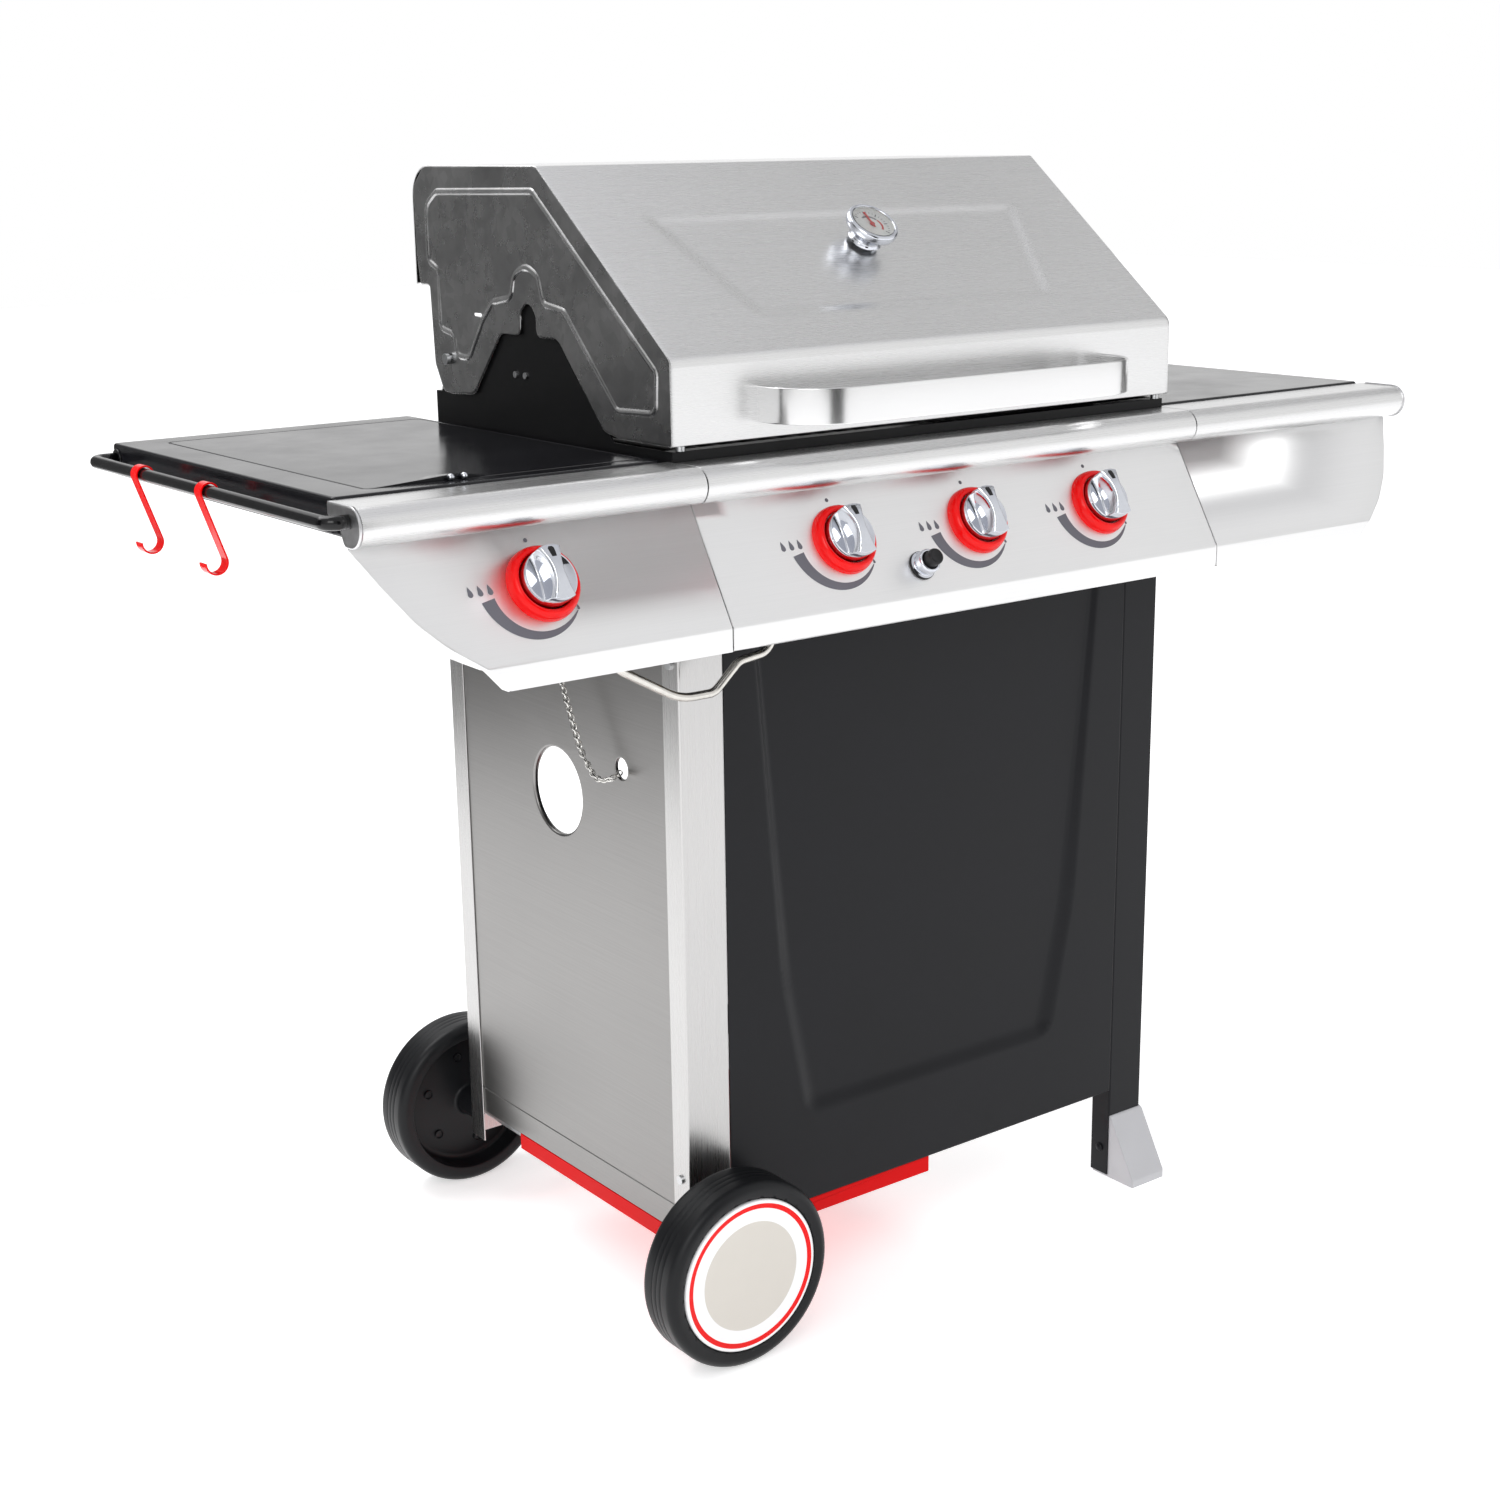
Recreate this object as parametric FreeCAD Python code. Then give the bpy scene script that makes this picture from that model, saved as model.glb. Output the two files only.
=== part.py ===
"""Gas barbecue grill on a cart: three main burners, one side burner, hinged hood, two wheels.

Working datum: X = 0 in the middle of the hood, Y = 0 at the hood's front face with +Y to the rear,
Z = 0 on the floor. At the end every piece is moved so that the origin lies on the floor under the
middle of the whole grill. All sizes are in millimetres.
"""
import FreeCAD, Part
import math
import os

V = FreeCAD.Vector

# ---- overall sizes --------------------------------------------------------------------------
SPAN = 1300.0            # front rail, end to end
BODY_W = 626.0           # outside width of the cabinet
BODY_D = 421.0           # outside depth of the cabinet
DECK_Z = 868.0           # height of the side shelves
HOOD_RISE = 253.0        # hood top above the shelves
WHEEL_R = 94.3           # also the height of the axle

# ---- clearances and sheet thicknesses -------------------------------------------------------
SHEET = 1.2              # folded sheet metal
FRAME_SHEET = 1.5        # legs and posts
GAP = 0.3                # between pieces of different bodies
RUN_FIT = 0.05           # radial running fit of shafts and pins
SEAM = 0.3               # open joint between neighbouring panels

# ---- cabinet --------------------------------------------------------------------------------
FRONT_Y = 2.5            # cabinet front, just behind the hood's front face
REAR_Y = FRONT_Y + BODY_D
HALF_W = BODY_W / 2
POST_W = 50.0            # front width of a post
POST_SIDE = 26.0         # depth of a post's side flange
CABINET_TOP = DECK_Z - 128.0
AXLE_BELOW = 12.7        # axle below the cabinet's lower edge
POST_BELOW = 24.3        # lower end of the two posts on the wheel side, below the axle
CABINET_BOTTOM = WHEEL_R + AXLE_BELOW
POST_BOTTOM = WHEEL_R - POST_BELOW
HOSE_HOLE_R = 44.6       # large hole in each side panel
HOSE_HOLE_Y = 220.0
HOSE_HOLE_Z = CABINET_TOP - 225.0
MATCH_HOLE_R = 10.8      # small hole for lighting by hand
MATCH_HOLE_Y = 103.0
MATCH_HOLE_Z = CABINET_TOP - 177.5
EMBOSS = 3.0             # depth of the pressed field of the front panel
TRAY_W = 308.0           # bottle tray, from the left side
TRAY_D = 318.0
TRAY_H = 17.5
BRACE_H = 30.0
FOOT_H = 76.0
FOOT_REACH = 37.5        # how far a foot stands out in front of its leg

# ---- wheels ---------------------------------------------------------------------------------
WHEEL_W = 50.0
WHEEL_X = -HALF_W + 18.2
WHEEL_STANDOFF = 24.0    # wheel's inner face to the post
AXLE_R = 5.0
RIM_W = 17.7             # face of the tyre around the decorative disc
CAP_R = WHEEL_R - RIM_W
HUB_R = 16.0
TYRE_T = 13.0            # thickness of the rim under the tread
TYRE_ROUND = 9.0         # rounding of the tyre's shoulders

# ---- front rail and control panel ------------------------------------------------------------
SEAM_X = 311.0           # half length of the middle section
NOSE_R = 16.5            # rounded front of the rail
NOSE_Y = -30.8           # centre of the rounding
RAIL_TOP = DECK_Z - 2.0
RAIL_BACK = 12.0         # where the rail's flat top meets the shelves
FACE_TOP_Y = -19.2       # control face, upper edge
FACE_LEN = 120.4         # length of the sloping face
FACE_TILT = 30.6         # degrees from vertical
LIP_H = 21.0             # upright lip under the face
WING_BOTTOM_X = 532.0    # where the curved wing ends at the lip
WING_MID_X = 609.0       # middle of the wing's curve
WING_FLANGE = 12.0       # flange along the curved edge
CAP_T = 3.0              # end caps of the rail

# ---- knobs and valves -------------------------------------------------------------------------
KNOB_PITCH = 165.0
KNOB_MID_X = 5.0
SIDE_KNOB_X = -484.0
KNOB_DOWN = 55.0         # along the face, from its upper edge
BEZEL_R = 33.8
BEZEL_H = 11.0
BEZEL_HOLE_R = 25.6      # opening that the knob's skirt runs in
KNOB_R = 25.0
KNOB_SKIRT_H = 14.0
GRIP_W = 13.0            # raised grip rib across the knob
GRIP_H = 16.0
KNOB_STANDOFF = 4.5      # knob above the panel when released
KNOB_TRAVEL = 3.5
STEM_R = 4.0
VALVE_R = 12.0
VALVE_START = 8.0        # behind the face
VALVE_LEN = 38.0
PLUG_R = 7.0
PLUG_LEN = 20.0
PLUG_START = VALVE_START + 12.0   # chamber of the turning plug, behind the face
IGNITER_X = -80.0
IGNITER_DOWN = 91.0
IGNITER_R = 14.0
BUTTON_R = 8.0
BUTTON_TOP = 25.0        # released button above the face
BUTTON_TRAVEL = 6.0
IGNITER_DEPTH = 18.0     # barrel behind the face

# ---- gas pipes --------------------------------------------------------------------------------
MANIFOLD_R = 9.0
MANIFOLD_DOWN = 85.0     # along the face
MANIFOLD_BEHIND = 28.5   # behind the face
MANIFOLD_LEFT = -190.0
MANIFOLD_RIGHT = 262.0
INLET_R = 7.0            # screwed gas inlet on the manifold
INLET_LEN = 26.0
PIPE_R = 4.0             # side burner's feed pipe

# ---- firebox ----------------------------------------------------------------------------------
FIREBOX_FRONT_Y = FRONT_Y + 1.5
FIREBOX_TOP = DECK_Z + 7.0
LEDGE_Z = DECK_Z + 30.0   # upper edge of the firebox at the rear
EAR_UP = 36.0             # top of the firebox ear above the hinge pins
BURNER_R = 14.0
BURNER_UP = 20.0          # burner axis above the firebox floor
GRATE_UP = 112.0          # cooking surface above the firebox floor
GRATE_BARS = 26
BAR_R = 3.0
DRIP_W = 200.0
DRIP_D = 150.0
GREASE_W = 300.0
GREASE_D = 340.0
GREASE_H = 18.0
GREASE_DROP = 8.0         # tray below the firebox floor
CUP_R = 35.0
CUP_H = 50.0

# ---- side shelves -----------------------------------------------------------------------------
SHELF_OUT_X = SPAN / 2 - 8.0
SHELF_IN_X = HALF_W + 6.0
SHELF_REAR_Y = REAR_Y + 51.0
SHELF_SKIRT = 30.0
LID_X0 = -SHELF_OUT_X + 42.0
LID_X1 = -SHELF_IN_X - 7.0
LID_Y0 = RAIL_BACK + 22.0
LID_Y1 = SHELF_REAR_Y - 35.0
LID_T = 1.5
LID_GAP = 1.0
BARREL_R = 2.0            # rolled rear edge of the burner lid, which it turns about
BARREL_END = 12.0         # from the lid's sides to the ends of the rolled edge
WELL_DEPTH = 52.0
WELL_IN = 14.0            # well inside the lid's outline
SIDE_BURNER_R = 42.0

# ---- towel rail and hooks ---------------------------------------------------------------------
BAR_OUT = 17.0            # towel rail outside the end of the front rail
TOWEL_R = 6.0
TOWEL_DOWN = 14.0         # below the shelf top
HOOK_W = 14.0
HOOK_T = 1.8
HOOK_DROP = 74.0
HOOK_BEND_R = 12.0
HOOK_SET = 2.0           # lower bend, inwards from the rail's middle
HOOK_PLACES = (0.467, 0.755)   # along the towel rail, from its front end

# ---- hood -------------------------------------------------------------------------------------
HOOD_HALF_W = HALF_W + 4.0
HOOD_BOTTOM = DECK_Z + 11.5
HOOD_FRONT_H = 76.0        # upright front band
HOOD_TOP = DECK_Z + HOOD_RISE
HOOD_TOP_FRONT = BODY_D / 2 + 0.9       # front edge of the flat top
HOOD_REAR = REAR_Y + 24.5
HOOD_REAR_R = 32.0
HOOD_REAR_BOTTOM = HOOD_TOP - 117.0
PIN_Y = REAR_Y - 34.5
PIN_Z = DECK_Z + 64.0
PIN_R = 3.0
PIN_HEAD_R = 5.5
EMBOSS_HOOD = 2.0          # pressed field on the hood's slope
HANDLE_HALF = 220.0
HANDLE_FLAT = 153.0        # half length of the straight grip
HANDLE_OUT = 70.0
HANDLE_H = 33.0
HANDLE_T = 4.0
HANDLE_Z = HOOD_BOTTOM + 31.5
THERMO_UP = 145.0          # along the slope
THERMO_R = 27.0
THERMO_H = 24.0
DIAL_R = 22.0
STUD_R = 4.5               # studs that the closed hood rests on


# ---- small helpers ----------------------------------------------------------------------------
def box(x0, y0, z0, x1, y1, z1):
    return Part.makeBox(x1 - x0, y1 - y0, z1 - z0, V(x0, y0, z0))


def cyl(start, direction, radius, length):
    return Part.makeCylinder(radius, length, V(*start), V(*direction))


def fuse(first, *rest):
    return first.multiFuse(list(rest)).removeSplitter()


def cut(first, *rest):
    for tool in rest:
        first = first.cut(tool)
    return first


def both_sides(shape):
    """The shape and its mirror image in the middle plane."""
    return [shape, shape.mirror(V(0, 0, 0), V(1, 0, 0))]


def prism_x(points, x0, x1):
    """Polygon of (y, z) points, extruded from x0 to x1."""
    ring = [V(x0, y, z) for y, z in points]
    face = Part.Face(Part.makePolygon(ring + ring[:1]))
    return face.extrude(V(x1 - x0, 0, 0))


def prism_y(points, y0, y1):
    """Polygon of (x, z) points, extruded from y0 to y1."""
    ring = [V(x, y0, z) for x, z in points]
    face = Part.Face(Part.makePolygon(ring + ring[:1]))
    return face.extrude(V(0, y1 - y0, 0))


def prism_z(points, z0, z1):
    """Polygon of (x, y) points, extruded from z0 to z1."""
    ring = [V(x, y, z0) for x, y in points]
    face = Part.Face(Part.makePolygon(ring + ring[:1]))
    return face.extrude(V(0, 0, z1 - z0))


def round_edges_along(shape, direction, radius, keep=None):
    """Rounds the straight edges that run along a direction, optionally only some of them."""
    chosen = []
    for edge in shape.Edges:
        if len(edge.Vertexes) != 2 or not isinstance(edge.Curve, Part.Line):
            continue
        along = (edge.Vertexes[1].Point - edge.Vertexes[0].Point).normalize()
        if abs(along.dot(V(*direction))) > 0.999 and (keep is None or keep(edge)):
            chosen.append(edge)
    return shape.makeFillet(radius, chosen)


def stand(shape, place, direction):
    """Turns a shape built along +Z to a direction and moves it to a place."""
    turn = FreeCAD.Rotation(V(0, 0, 1), V(*direction))
    moved = shape.copy()
    moved.Placement = FreeCAD.Placement(V(*place), turn)
    return moved


def rounded_path(points, radius):
    """A wire of straight runs joined by tangent arcs of one radius."""
    pts = [V(*p) for p in points]
    edges = []
    last = pts[0]
    for before, corner, after in zip(pts, pts[1:], pts[2:]):
        into = (before - corner).normalize()
        out = (after - corner).normalize()
        half = into.getAngle(out) / 2
        back = radius / math.tan(half)
        start = corner + into * back
        end = corner + out * back
        centre_way = (into + out).normalize()
        middle = corner + centre_way * (radius / math.sin(half) - radius)
        edges.append(Part.LineSegment(last, start).toShape())
        edges.append(Part.Arc(start, middle, end).toShape())
        last = end
    edges.append(Part.LineSegment(last, pts[-1]).toShape())
    return Part.Wire(edges)


def rod(points, bend, radius):
    """A round bar bent along a path."""
    path = rounded_path(points, bend)
    first = V(*points[0])
    way = V(*points[1]) - first
    ring = Part.Wire(Part.makeCircle(radius, first, way))
    return path.makePipeShell([ring], True, False)


# ---- the control face's own directions ----------------------------------------------------------
TILT = math.radians(FACE_TILT)
FACE_TOP_Z = RAIL_TOP - 2 * NOSE_R
DOWN = V(0, -math.sin(TILT), -math.cos(TILT))      # along the face, towards the floor
OUT = V(0, -math.cos(TILT), math.sin(TILT))        # out of the face, towards the user


def on_face(x, down, out=0.0):
    """A point given along the control face and out of it."""
    return V(x, FACE_TOP_Y, FACE_TOP_Z) + DOWN * down + OUT * out


LIP_Y = on_face(0, FACE_LEN).y
LIP_TOP = on_face(0, FACE_LEN).z
LIP_BOTTOM = LIP_TOP - LIP_H
KNOB_X = [SIDE_KNOB_X] + [KNOB_MID_X + KNOB_PITCH * i for i in (-1, 0, 1)]


# ---- cabinet ------------------------------------------------------------------------------------
def side_panel():
    """Left side panel with the hose hole and the lighting hole; the right one is its mirror."""
    x0 = -HALF_W + FRAME_SHEET
    sheet = box(x0, FRONT_Y + FRAME_SHEET, CABINET_BOTTOM, x0 + SHEET, REAR_Y - FRAME_SHEET,
                CABINET_TOP)
    flange = box(x0, FRONT_Y + POST_SIDE, CABINET_BOTTOM, x0 + 14, REAR_Y - POST_SIDE,
                 CABINET_BOTTOM + SHEET)
    hose = cyl((x0 - 1, HOSE_HOLE_Y, HOSE_HOLE_Z), (1, 0, 0), HOSE_HOLE_R, 4)
    match = cyl((x0 - 1, MATCH_HOLE_Y, MATCH_HOLE_Z), (1, 0, 0), MATCH_HOLE_R, 4)
    return cut(fuse(sheet, flange), hose, match)


def angle_post(front, bottom):
    """Folded post at the left corner, front or rear, with the axle's hole."""
    x0 = -HALF_W
    if front:
        web = box(x0, FRONT_Y, bottom, x0 + POST_W, FRONT_Y + FRAME_SHEET, CABINET_TOP)
        side = box(x0, FRONT_Y, bottom, x0 + FRAME_SHEET, FRONT_Y + POST_SIDE, CABINET_TOP)
        hole_y = FRONT_Y - 1
    else:
        web = box(x0, REAR_Y - FRAME_SHEET, bottom, x0 + POST_W, REAR_Y, CABINET_TOP)
        side = box(x0, REAR_Y - POST_SIDE, bottom, x0 + FRAME_SHEET, REAR_Y, CABINET_TOP)
        hole_y = REAR_Y - FRAME_SHEET - 1
    hole = cyl((WHEEL_X, hole_y, WHEEL_R), (0, 1, 0), AXLE_R, FRAME_SHEET + 2)
    return cut(fuse(web, side), hole)


def footed_leg():
    """Channel leg at the front right; its inner flange runs down beside the foot."""
    x1 = HALF_W
    x0 = x1 - POST_W + 1
    y1 = FRONT_Y + POST_SIDE
    web = box(x0, FRONT_Y, FOOT_H, x1, FRONT_Y + FRAME_SHEET, CABINET_TOP)
    outer = box(x1 - FRAME_SHEET, FRONT_Y, FOOT_H, x1, y1, CABINET_TOP)
    inner = box(x0, FRONT_Y, 4, x0 + FRAME_SHEET, y1, CABINET_TOP)
    return fuse(web, outer, inner)


def flip_y(shape):
    """Mirror image in the cabinet's middle, front to back."""
    return shape.mirror(V(0, (FRONT_Y + REAR_Y) / 2, 0), V(0, 1, 0))


def rear_braces():
    """Two cross channels between the rear legs."""
    out = []
    for z0 in (CABINET_BOTTOM, CABINET_TOP - 150):
        y1 = REAR_Y - FRAME_SHEET
        web = box(-HALF_W + POST_W, y1 - FRAME_SHEET, z0, HALF_W - POST_W, y1, z0 + BRACE_H)
        shelf = box(-HALF_W + POST_W, y1 - 18, z0, HALF_W - POST_W, y1, z0 + FRAME_SHEET)
        out.append(fuse(web, shelf))
    return out


def foot():
    """Wedge-shaped plastic foot under the front right leg."""
    x0 = HALF_W - POST_W + 1 + FRAME_SHEET
    y0 = FRONT_Y
    y1 = FRONT_Y + POST_SIDE
    side = [(y0 - FOOT_REACH, 0), (y1, 0), (y1, FOOT_H), (y0, FOOT_H), (y0 - FOOT_REACH, 8)]
    return prism_x(side, x0, HALF_W + 3)


def front_panel():
    """Flat facade between the front posts, with a pressed field that narrows downwards."""
    x0 = -HALF_W + POST_W + SEAM
    x1 = HALF_W - POST_W + 1 - SEAM
    y0 = FRONT_Y
    y1 = y0 + SHEET
    h = CABINET_TOP - CABINET_BOTTOM
    plate = box(x0, y0, CABINET_BOTTOM, x1, y1, CABINET_TOP)

    def field(grow, depth0, depth1):
        top = CABINET_TOP - 8 + grow
        low = CABINET_BOTTOM + 0.14 * h - grow
        bend = CABINET_BOTTOM + 0.38 * h
        ring = [(x0 + 30 - grow, top), (x0 + 62 - grow, bend), (x0 + 92 - grow, low),
                (x1 - 92 + grow, low), (x1 - 62 + grow, bend), (x1 - 30 + grow, top)]
        solid = prism_y(ring, y0 + depth0, y0 + depth1)
        return round_edges_along(solid, (0, 1, 0), 18 + grow,
                                 lambda e: e.Vertexes[0].Point.z < bend - 1)

    pan = field(SHEET, 0, EMBOSS + SHEET)
    return cut(fuse(plate, pan), field(0, -1, EMBOSS))


def bottle_tray():
    """Turned-over tray under the cabinet's left half, which the gas bottle stands on."""
    x0 = -HALF_W + FRAME_SHEET
    x1 = x0 + TRAY_W
    y0 = FRONT_Y + FRAME_SHEET
    y1 = y0 + TRAY_D
    top = CABINET_BOTTOM - 1
    bottom = top - TRAY_H
    outer = box(x0, y0, bottom, x1, y1, top)
    inner = box(x0 + SHEET, y0 + SHEET, bottom - 1, x1 - SHEET, y1 - SHEET, top - SHEET)
    r = AXLE_R + 1
    slot = box(WHEEL_X - r, y0 - 1, bottom - 1, WHEEL_X + r, y1 + 1, WHEEL_R)
    arch = cyl((WHEEL_X, y0 - 1, WHEEL_R), (0, 1, 0), r, TRAY_D + 2)
    return cut(outer, inner, slot, arch)


def match_chain():
    """Chain of the match holder, from the cabinet's top down to the lighting hole."""
    x = -HALF_W
    points = [(x - 6, MATCH_HOLE_Y + 84, CABINET_TOP - 4), (x - 20, MATCH_HOLE_Y + 74, CABINET_TOP - 90),
              (x - 20, MATCH_HOLE_Y + 34, MATCH_HOLE_Z - 6), (x - 16, MATCH_HOLE_Y + 14, MATCH_HOLE_Z - 14),
              (x - 3, MATCH_HOLE_Y, MATCH_HOLE_Z)]
    return rod(points, 9, 1.8)


# ---- wheels -------------------------------------------------------------------------------------
def wheel_ring(profile):
    """Turns a profile of (radius, out) points round the wheel's axis, out along -Y."""
    ring = [V(r, -out, 0) for r, out in profile]
    face = Part.Face(Part.makePolygon(ring + ring[:1]))
    return face.revolve(V(0, 0, 0), V(0, 1, 0), 360)


def wheel():
    """Moulded wheel about the origin: rim and tread, a web behind the disc, ribs and hub."""
    w = WHEEL_W
    r = WHEEL_R
    k = TYRE_ROUND
    inner = CAP_R + 2
    tread = wheel_ring([(inner, 0), (r - k, 0), (r - k * 0.3, k * 0.3), (r, k), (r, w - k),
                        (r - k * 0.3, w - k * 0.3), (r - k, w), (inner, w)])
    web = wheel_ring([(AXLE_R + RUN_FIT, w - 9), (inner + 1, w - 9), (inner + 1, w - 4),
                      (AXLE_R + RUN_FIT, w - 4)])
    hub = wheel_ring([(AXLE_R + RUN_FIT, 1 - WHEEL_STANDOFF), (HUB_R, 1 - WHEEL_STANDOFF),
                      (HUB_R, w - 5), (AXLE_R + RUN_FIT, w - 5)])
    ribs = []
    for i in range(8):
        rib = box(HUB_R - 1, -(w - 5), -1.5, inner + 1, -6, 1.5)
        ribs.append(rib.rotate(V(0, 0, 0), V(0, 1, 0), 45 * i))
    return fuse(tread, web, hub, *ribs)


def wheel_cap():
    """Decorative disc pressed into the wheel's outer face."""
    w = WHEEL_W
    return wheel_ring([(0, w - 3.7), (CAP_R, w - 3.7), (CAP_R + 1.5, w - 1.5), (CAP_R - 3, w),
                       (0, w - 0.5)])


def at_front_wheel(shape):
    return shape.translated(V(WHEEL_X, FRONT_Y - WHEEL_STANDOFF, WHEEL_R))


def at_rear_wheel(shape):
    turned = shape.mirror(V(0, 0, 0), V(0, 1, 0))
    return turned.translated(V(WHEEL_X, REAR_Y + WHEEL_STANDOFF, WHEEL_R))


AXLE_END = WHEEL_STANDOFF + WHEEL_W - 5.5       # beyond the posts


def axle():
    return cyl((WHEEL_X, FRONT_Y - AXLE_END, WHEEL_R), (0, 1, 0), AXLE_R, BODY_D + 2 * AXLE_END)


def fasteners():
    """Washers between the wheels and posts, and the screws of the hood's ears and handle tabs."""
    out = []
    for y, way in ((FRONT_Y, -1), (REAR_Y, 1)):
        ring = cyl((WHEEL_X, y, WHEEL_R), (0, way, 0), 9, 0.7)
        out.append(ring.cut(cyl((WHEEL_X, y, WHEEL_R), (0, way, 0), AXLE_R, 1)))
    for y in (PIN_Y - 142, PIN_Y - 124):
        head = cyl((-HALF_W, y, PIN_Z - 7), (-1, 0, 0), 3.2, 1.6)
        out += both_sides(head)
    for z in (CABINET_BOTTOM + 60, CABINET_TOP - 60):
        head = cyl((HALF_W, FRONT_Y + 14, z), (1, 0, 0), 4.5, 2.2)
        out += both_sides(head)
    return out


# ---- front rail and control panels ----------------------------------------------------------------
def rail_section(x0, x1, back):
    """Rolled rail: round nose, flat top and a short return under the nose."""
    z = RAIL_TOP - NOSE_R
    nose = cyl((x0, NOSE_Y, z), (1, 0, 0), NOSE_R, x1 - x0)
    nose = cut(nose, cyl((x0 - 1, NOSE_Y, z), (1, 0, 0), NOSE_R - SHEET, x1 - x0 + 2))
    nose = nose.common(box(x0, NOSE_Y - NOSE_R, z - NOSE_R, x1, NOSE_Y, RAIL_TOP))
    top = box(x0, NOSE_Y, RAIL_TOP - SHEET, x1, back, RAIL_TOP)
    under = box(x0, NOSE_Y, RAIL_TOP - 2 * NOSE_R, x1, FACE_TOP_Y + 4, RAIL_TOP - 2 * NOSE_R + SHEET)
    return fuse(nose, top, under)


def front_rails():
    end = SPAN / 2 - CAP_T
    side = rail_section(SEAM_X + SEAM, end, RAIL_BACK)
    firebox_corner = box(SEAM_X, FIREBOX_FRONT_Y - 1, RAIL_TOP - 5, SHELF_IN_X - 2, RAIL_BACK + 1, RAIL_TOP + 1)
    side = cut(side, firebox_corner)
    middle = rail_section(-SEAM_X, SEAM_X, FRONT_Y)
    return [middle] + both_sides(side)


def rail_end_caps():
    """End caps of the rail; the towel rail passes into the left one."""
    z = RAIL_TOP - NOSE_R
    x0 = SPAN / 2 - CAP_T
    disc = cyl((x0, NOSE_Y, z), (1, 0, 0), NOSE_R + 1, CAP_T)
    block = box(x0, NOSE_Y, z - NOSE_R - 1, x0 + CAP_T, RAIL_BACK - 4, RAIL_TOP + 1)
    right = fuse(disc, block)
    left = right.mirror(V(0, 0, 0), V(1, 0, 0))
    hole = cyl((-SPAN / 2 - 1, TOWEL_FRONT_Y, TOWEL_Z), (1, 0, 0), TOWEL_R, CAP_T + 2)
    return [right, left.cut(hole)]


def face_sheet(x0, x1, behind0, behind1):
    """Slab that follows the control face and its lip, between two depths behind the face."""
    def corner(depth):
        top = on_face(0, 0, -depth)
        bend = depth * math.tan(TILT / 2)
        low = on_face(0, FACE_LEN - bend, -depth)
        return (top.y, top.z), (LIP_Y + depth, low.z), (LIP_Y + depth, LIP_BOTTOM)
    front = corner(behind0)
    back = corner(behind1)
    return prism_x(list(front) + list(reversed(back)), x0, x1)


def wing_outline(inset, y0, y1):
    """Block whose lower outer side is the wing's curved edge, on the right side."""
    top = (SPAN / 2 - CAP_T - inset, FACE_TOP_Z + 20)
    start = V(SPAN / 2 - CAP_T - inset, y0, FACE_TOP_Z - 3)
    middle = V(WING_MID_X - 0.72 * inset, y0, FACE_TOP_Z - 58 + 0.7 * inset)
    end = V(WING_BOTTOM_X - inset * 0.4, y0, LIP_BOTTOM - 2 + inset * 0.6)
    arc = Part.Arc(start, middle, end).toShape()
    corner = [V(end.x, y0, LIP_BOTTOM - 30), V(SEAM_X + SEAM / 2, y0, LIP_BOTTOM - 30),
              V(SEAM_X + SEAM / 2, y0, top[1]), V(top[0], y0, top[1]), start]
    sides = [Part.makeLine(a, b) for a, b in zip([end] + corner, corner)]
    return Part.Face(Part.Wire([arc] + sides)).extrude(V(0, y1 - y0, 0))


def control_wing():
    """Outer control panel on the right side: face, lip and a flange along its curved edge."""
    y0, y1 = LIP_Y - 5, FACE_TOP_Y + WING_FLANGE + 10
    x0, x1 = SEAM_X + SEAM / 2, SPAN / 2
    body = face_sheet(x0, x1, 0, WING_FLANGE).common(wing_outline(0, y0, y1))
    hollow = face_sheet(x0 - 1, x1, SHEET, WING_FLANGE + 5).common(wing_outline(SHEET, y0, y1))
    open_seam = box(x0 - 1, y0, LIP_BOTTOM - 1, x0 + 3, y1, FACE_TOP_Z + 1)
    thick = face_sheet(x0 - 1, x0 + 4, SHEET, WING_FLANGE + 5)
    return cut(body, hollow, open_seam.common(thick))


def face_hole(x, down, radius):
    """A hole square to the control face."""
    return Part.makeCylinder(radius, 12, on_face(x, down, 6), OUT * -1)


def control_panel_center():
    sheet = face_sheet(-SEAM_X, SEAM_X, 0, SHEET)
    holes = [face_hole(x, KNOB_DOWN, STEM_R + 2) for x in KNOB_X[1:]]
    holes.append(face_hole(IGNITER_X, IGNITER_DOWN, BUTTON_R + 1.5))
    return cut(sheet, *holes)


def control_panel_left():
    wing = control_wing().mirror(V(0, 0, 0), V(1, 0, 0))
    return cut(wing, face_hole(SIDE_KNOB_X, KNOB_DOWN, STEM_R + 2))


# ---- knobs, valves and igniter ----------------------------------------------------------------------
def at_knob(shape, x):
    """Places a shape built along +Z on the control face at a knob, +Z out of the face."""
    return stand(shape, on_face(x, KNOB_DOWN), OUT)


def knob_bezel():
    """Painted ring that the knob sinks into."""
    base = Part.makeCylinder(BEZEL_R, 3)
    cone = Part.makeCone(BEZEL_R, BEZEL_R - 3.5, BEZEL_H - 3, V(0, 0, 3))
    return cut(fuse(base, cone), Part.makeCylinder(BEZEL_HOLE_R, BEZEL_H + 1))


def knob():
    """Knob moulding with its grip rib, and the stem that it is pressed on."""
    z0 = KNOB_STANDOFF
    top = z0 + KNOB_SKIRT_H
    skirt = Part.makeCone(KNOB_R, KNOB_R - 1.5, KNOB_SKIRT_H, V(0, 0, z0))
    reach = KNOB_R - 2.5
    grip = box(-GRIP_W / 2, -reach, top - 2, GRIP_W / 2, reach, top + GRIP_H)
    grip = round_edges_along(grip, (0, 0, 1), GRIP_W / 2 - 0.5)
    stem_end = -PLUG_START + KNOB_TRAVEL + GAP
    stem = cyl((0, 0, stem_end), (0, 0, 1), STEM_R, z0 + 8 - stem_end)
    return [cut(fuse(skirt, grip), stem), stem]


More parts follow.
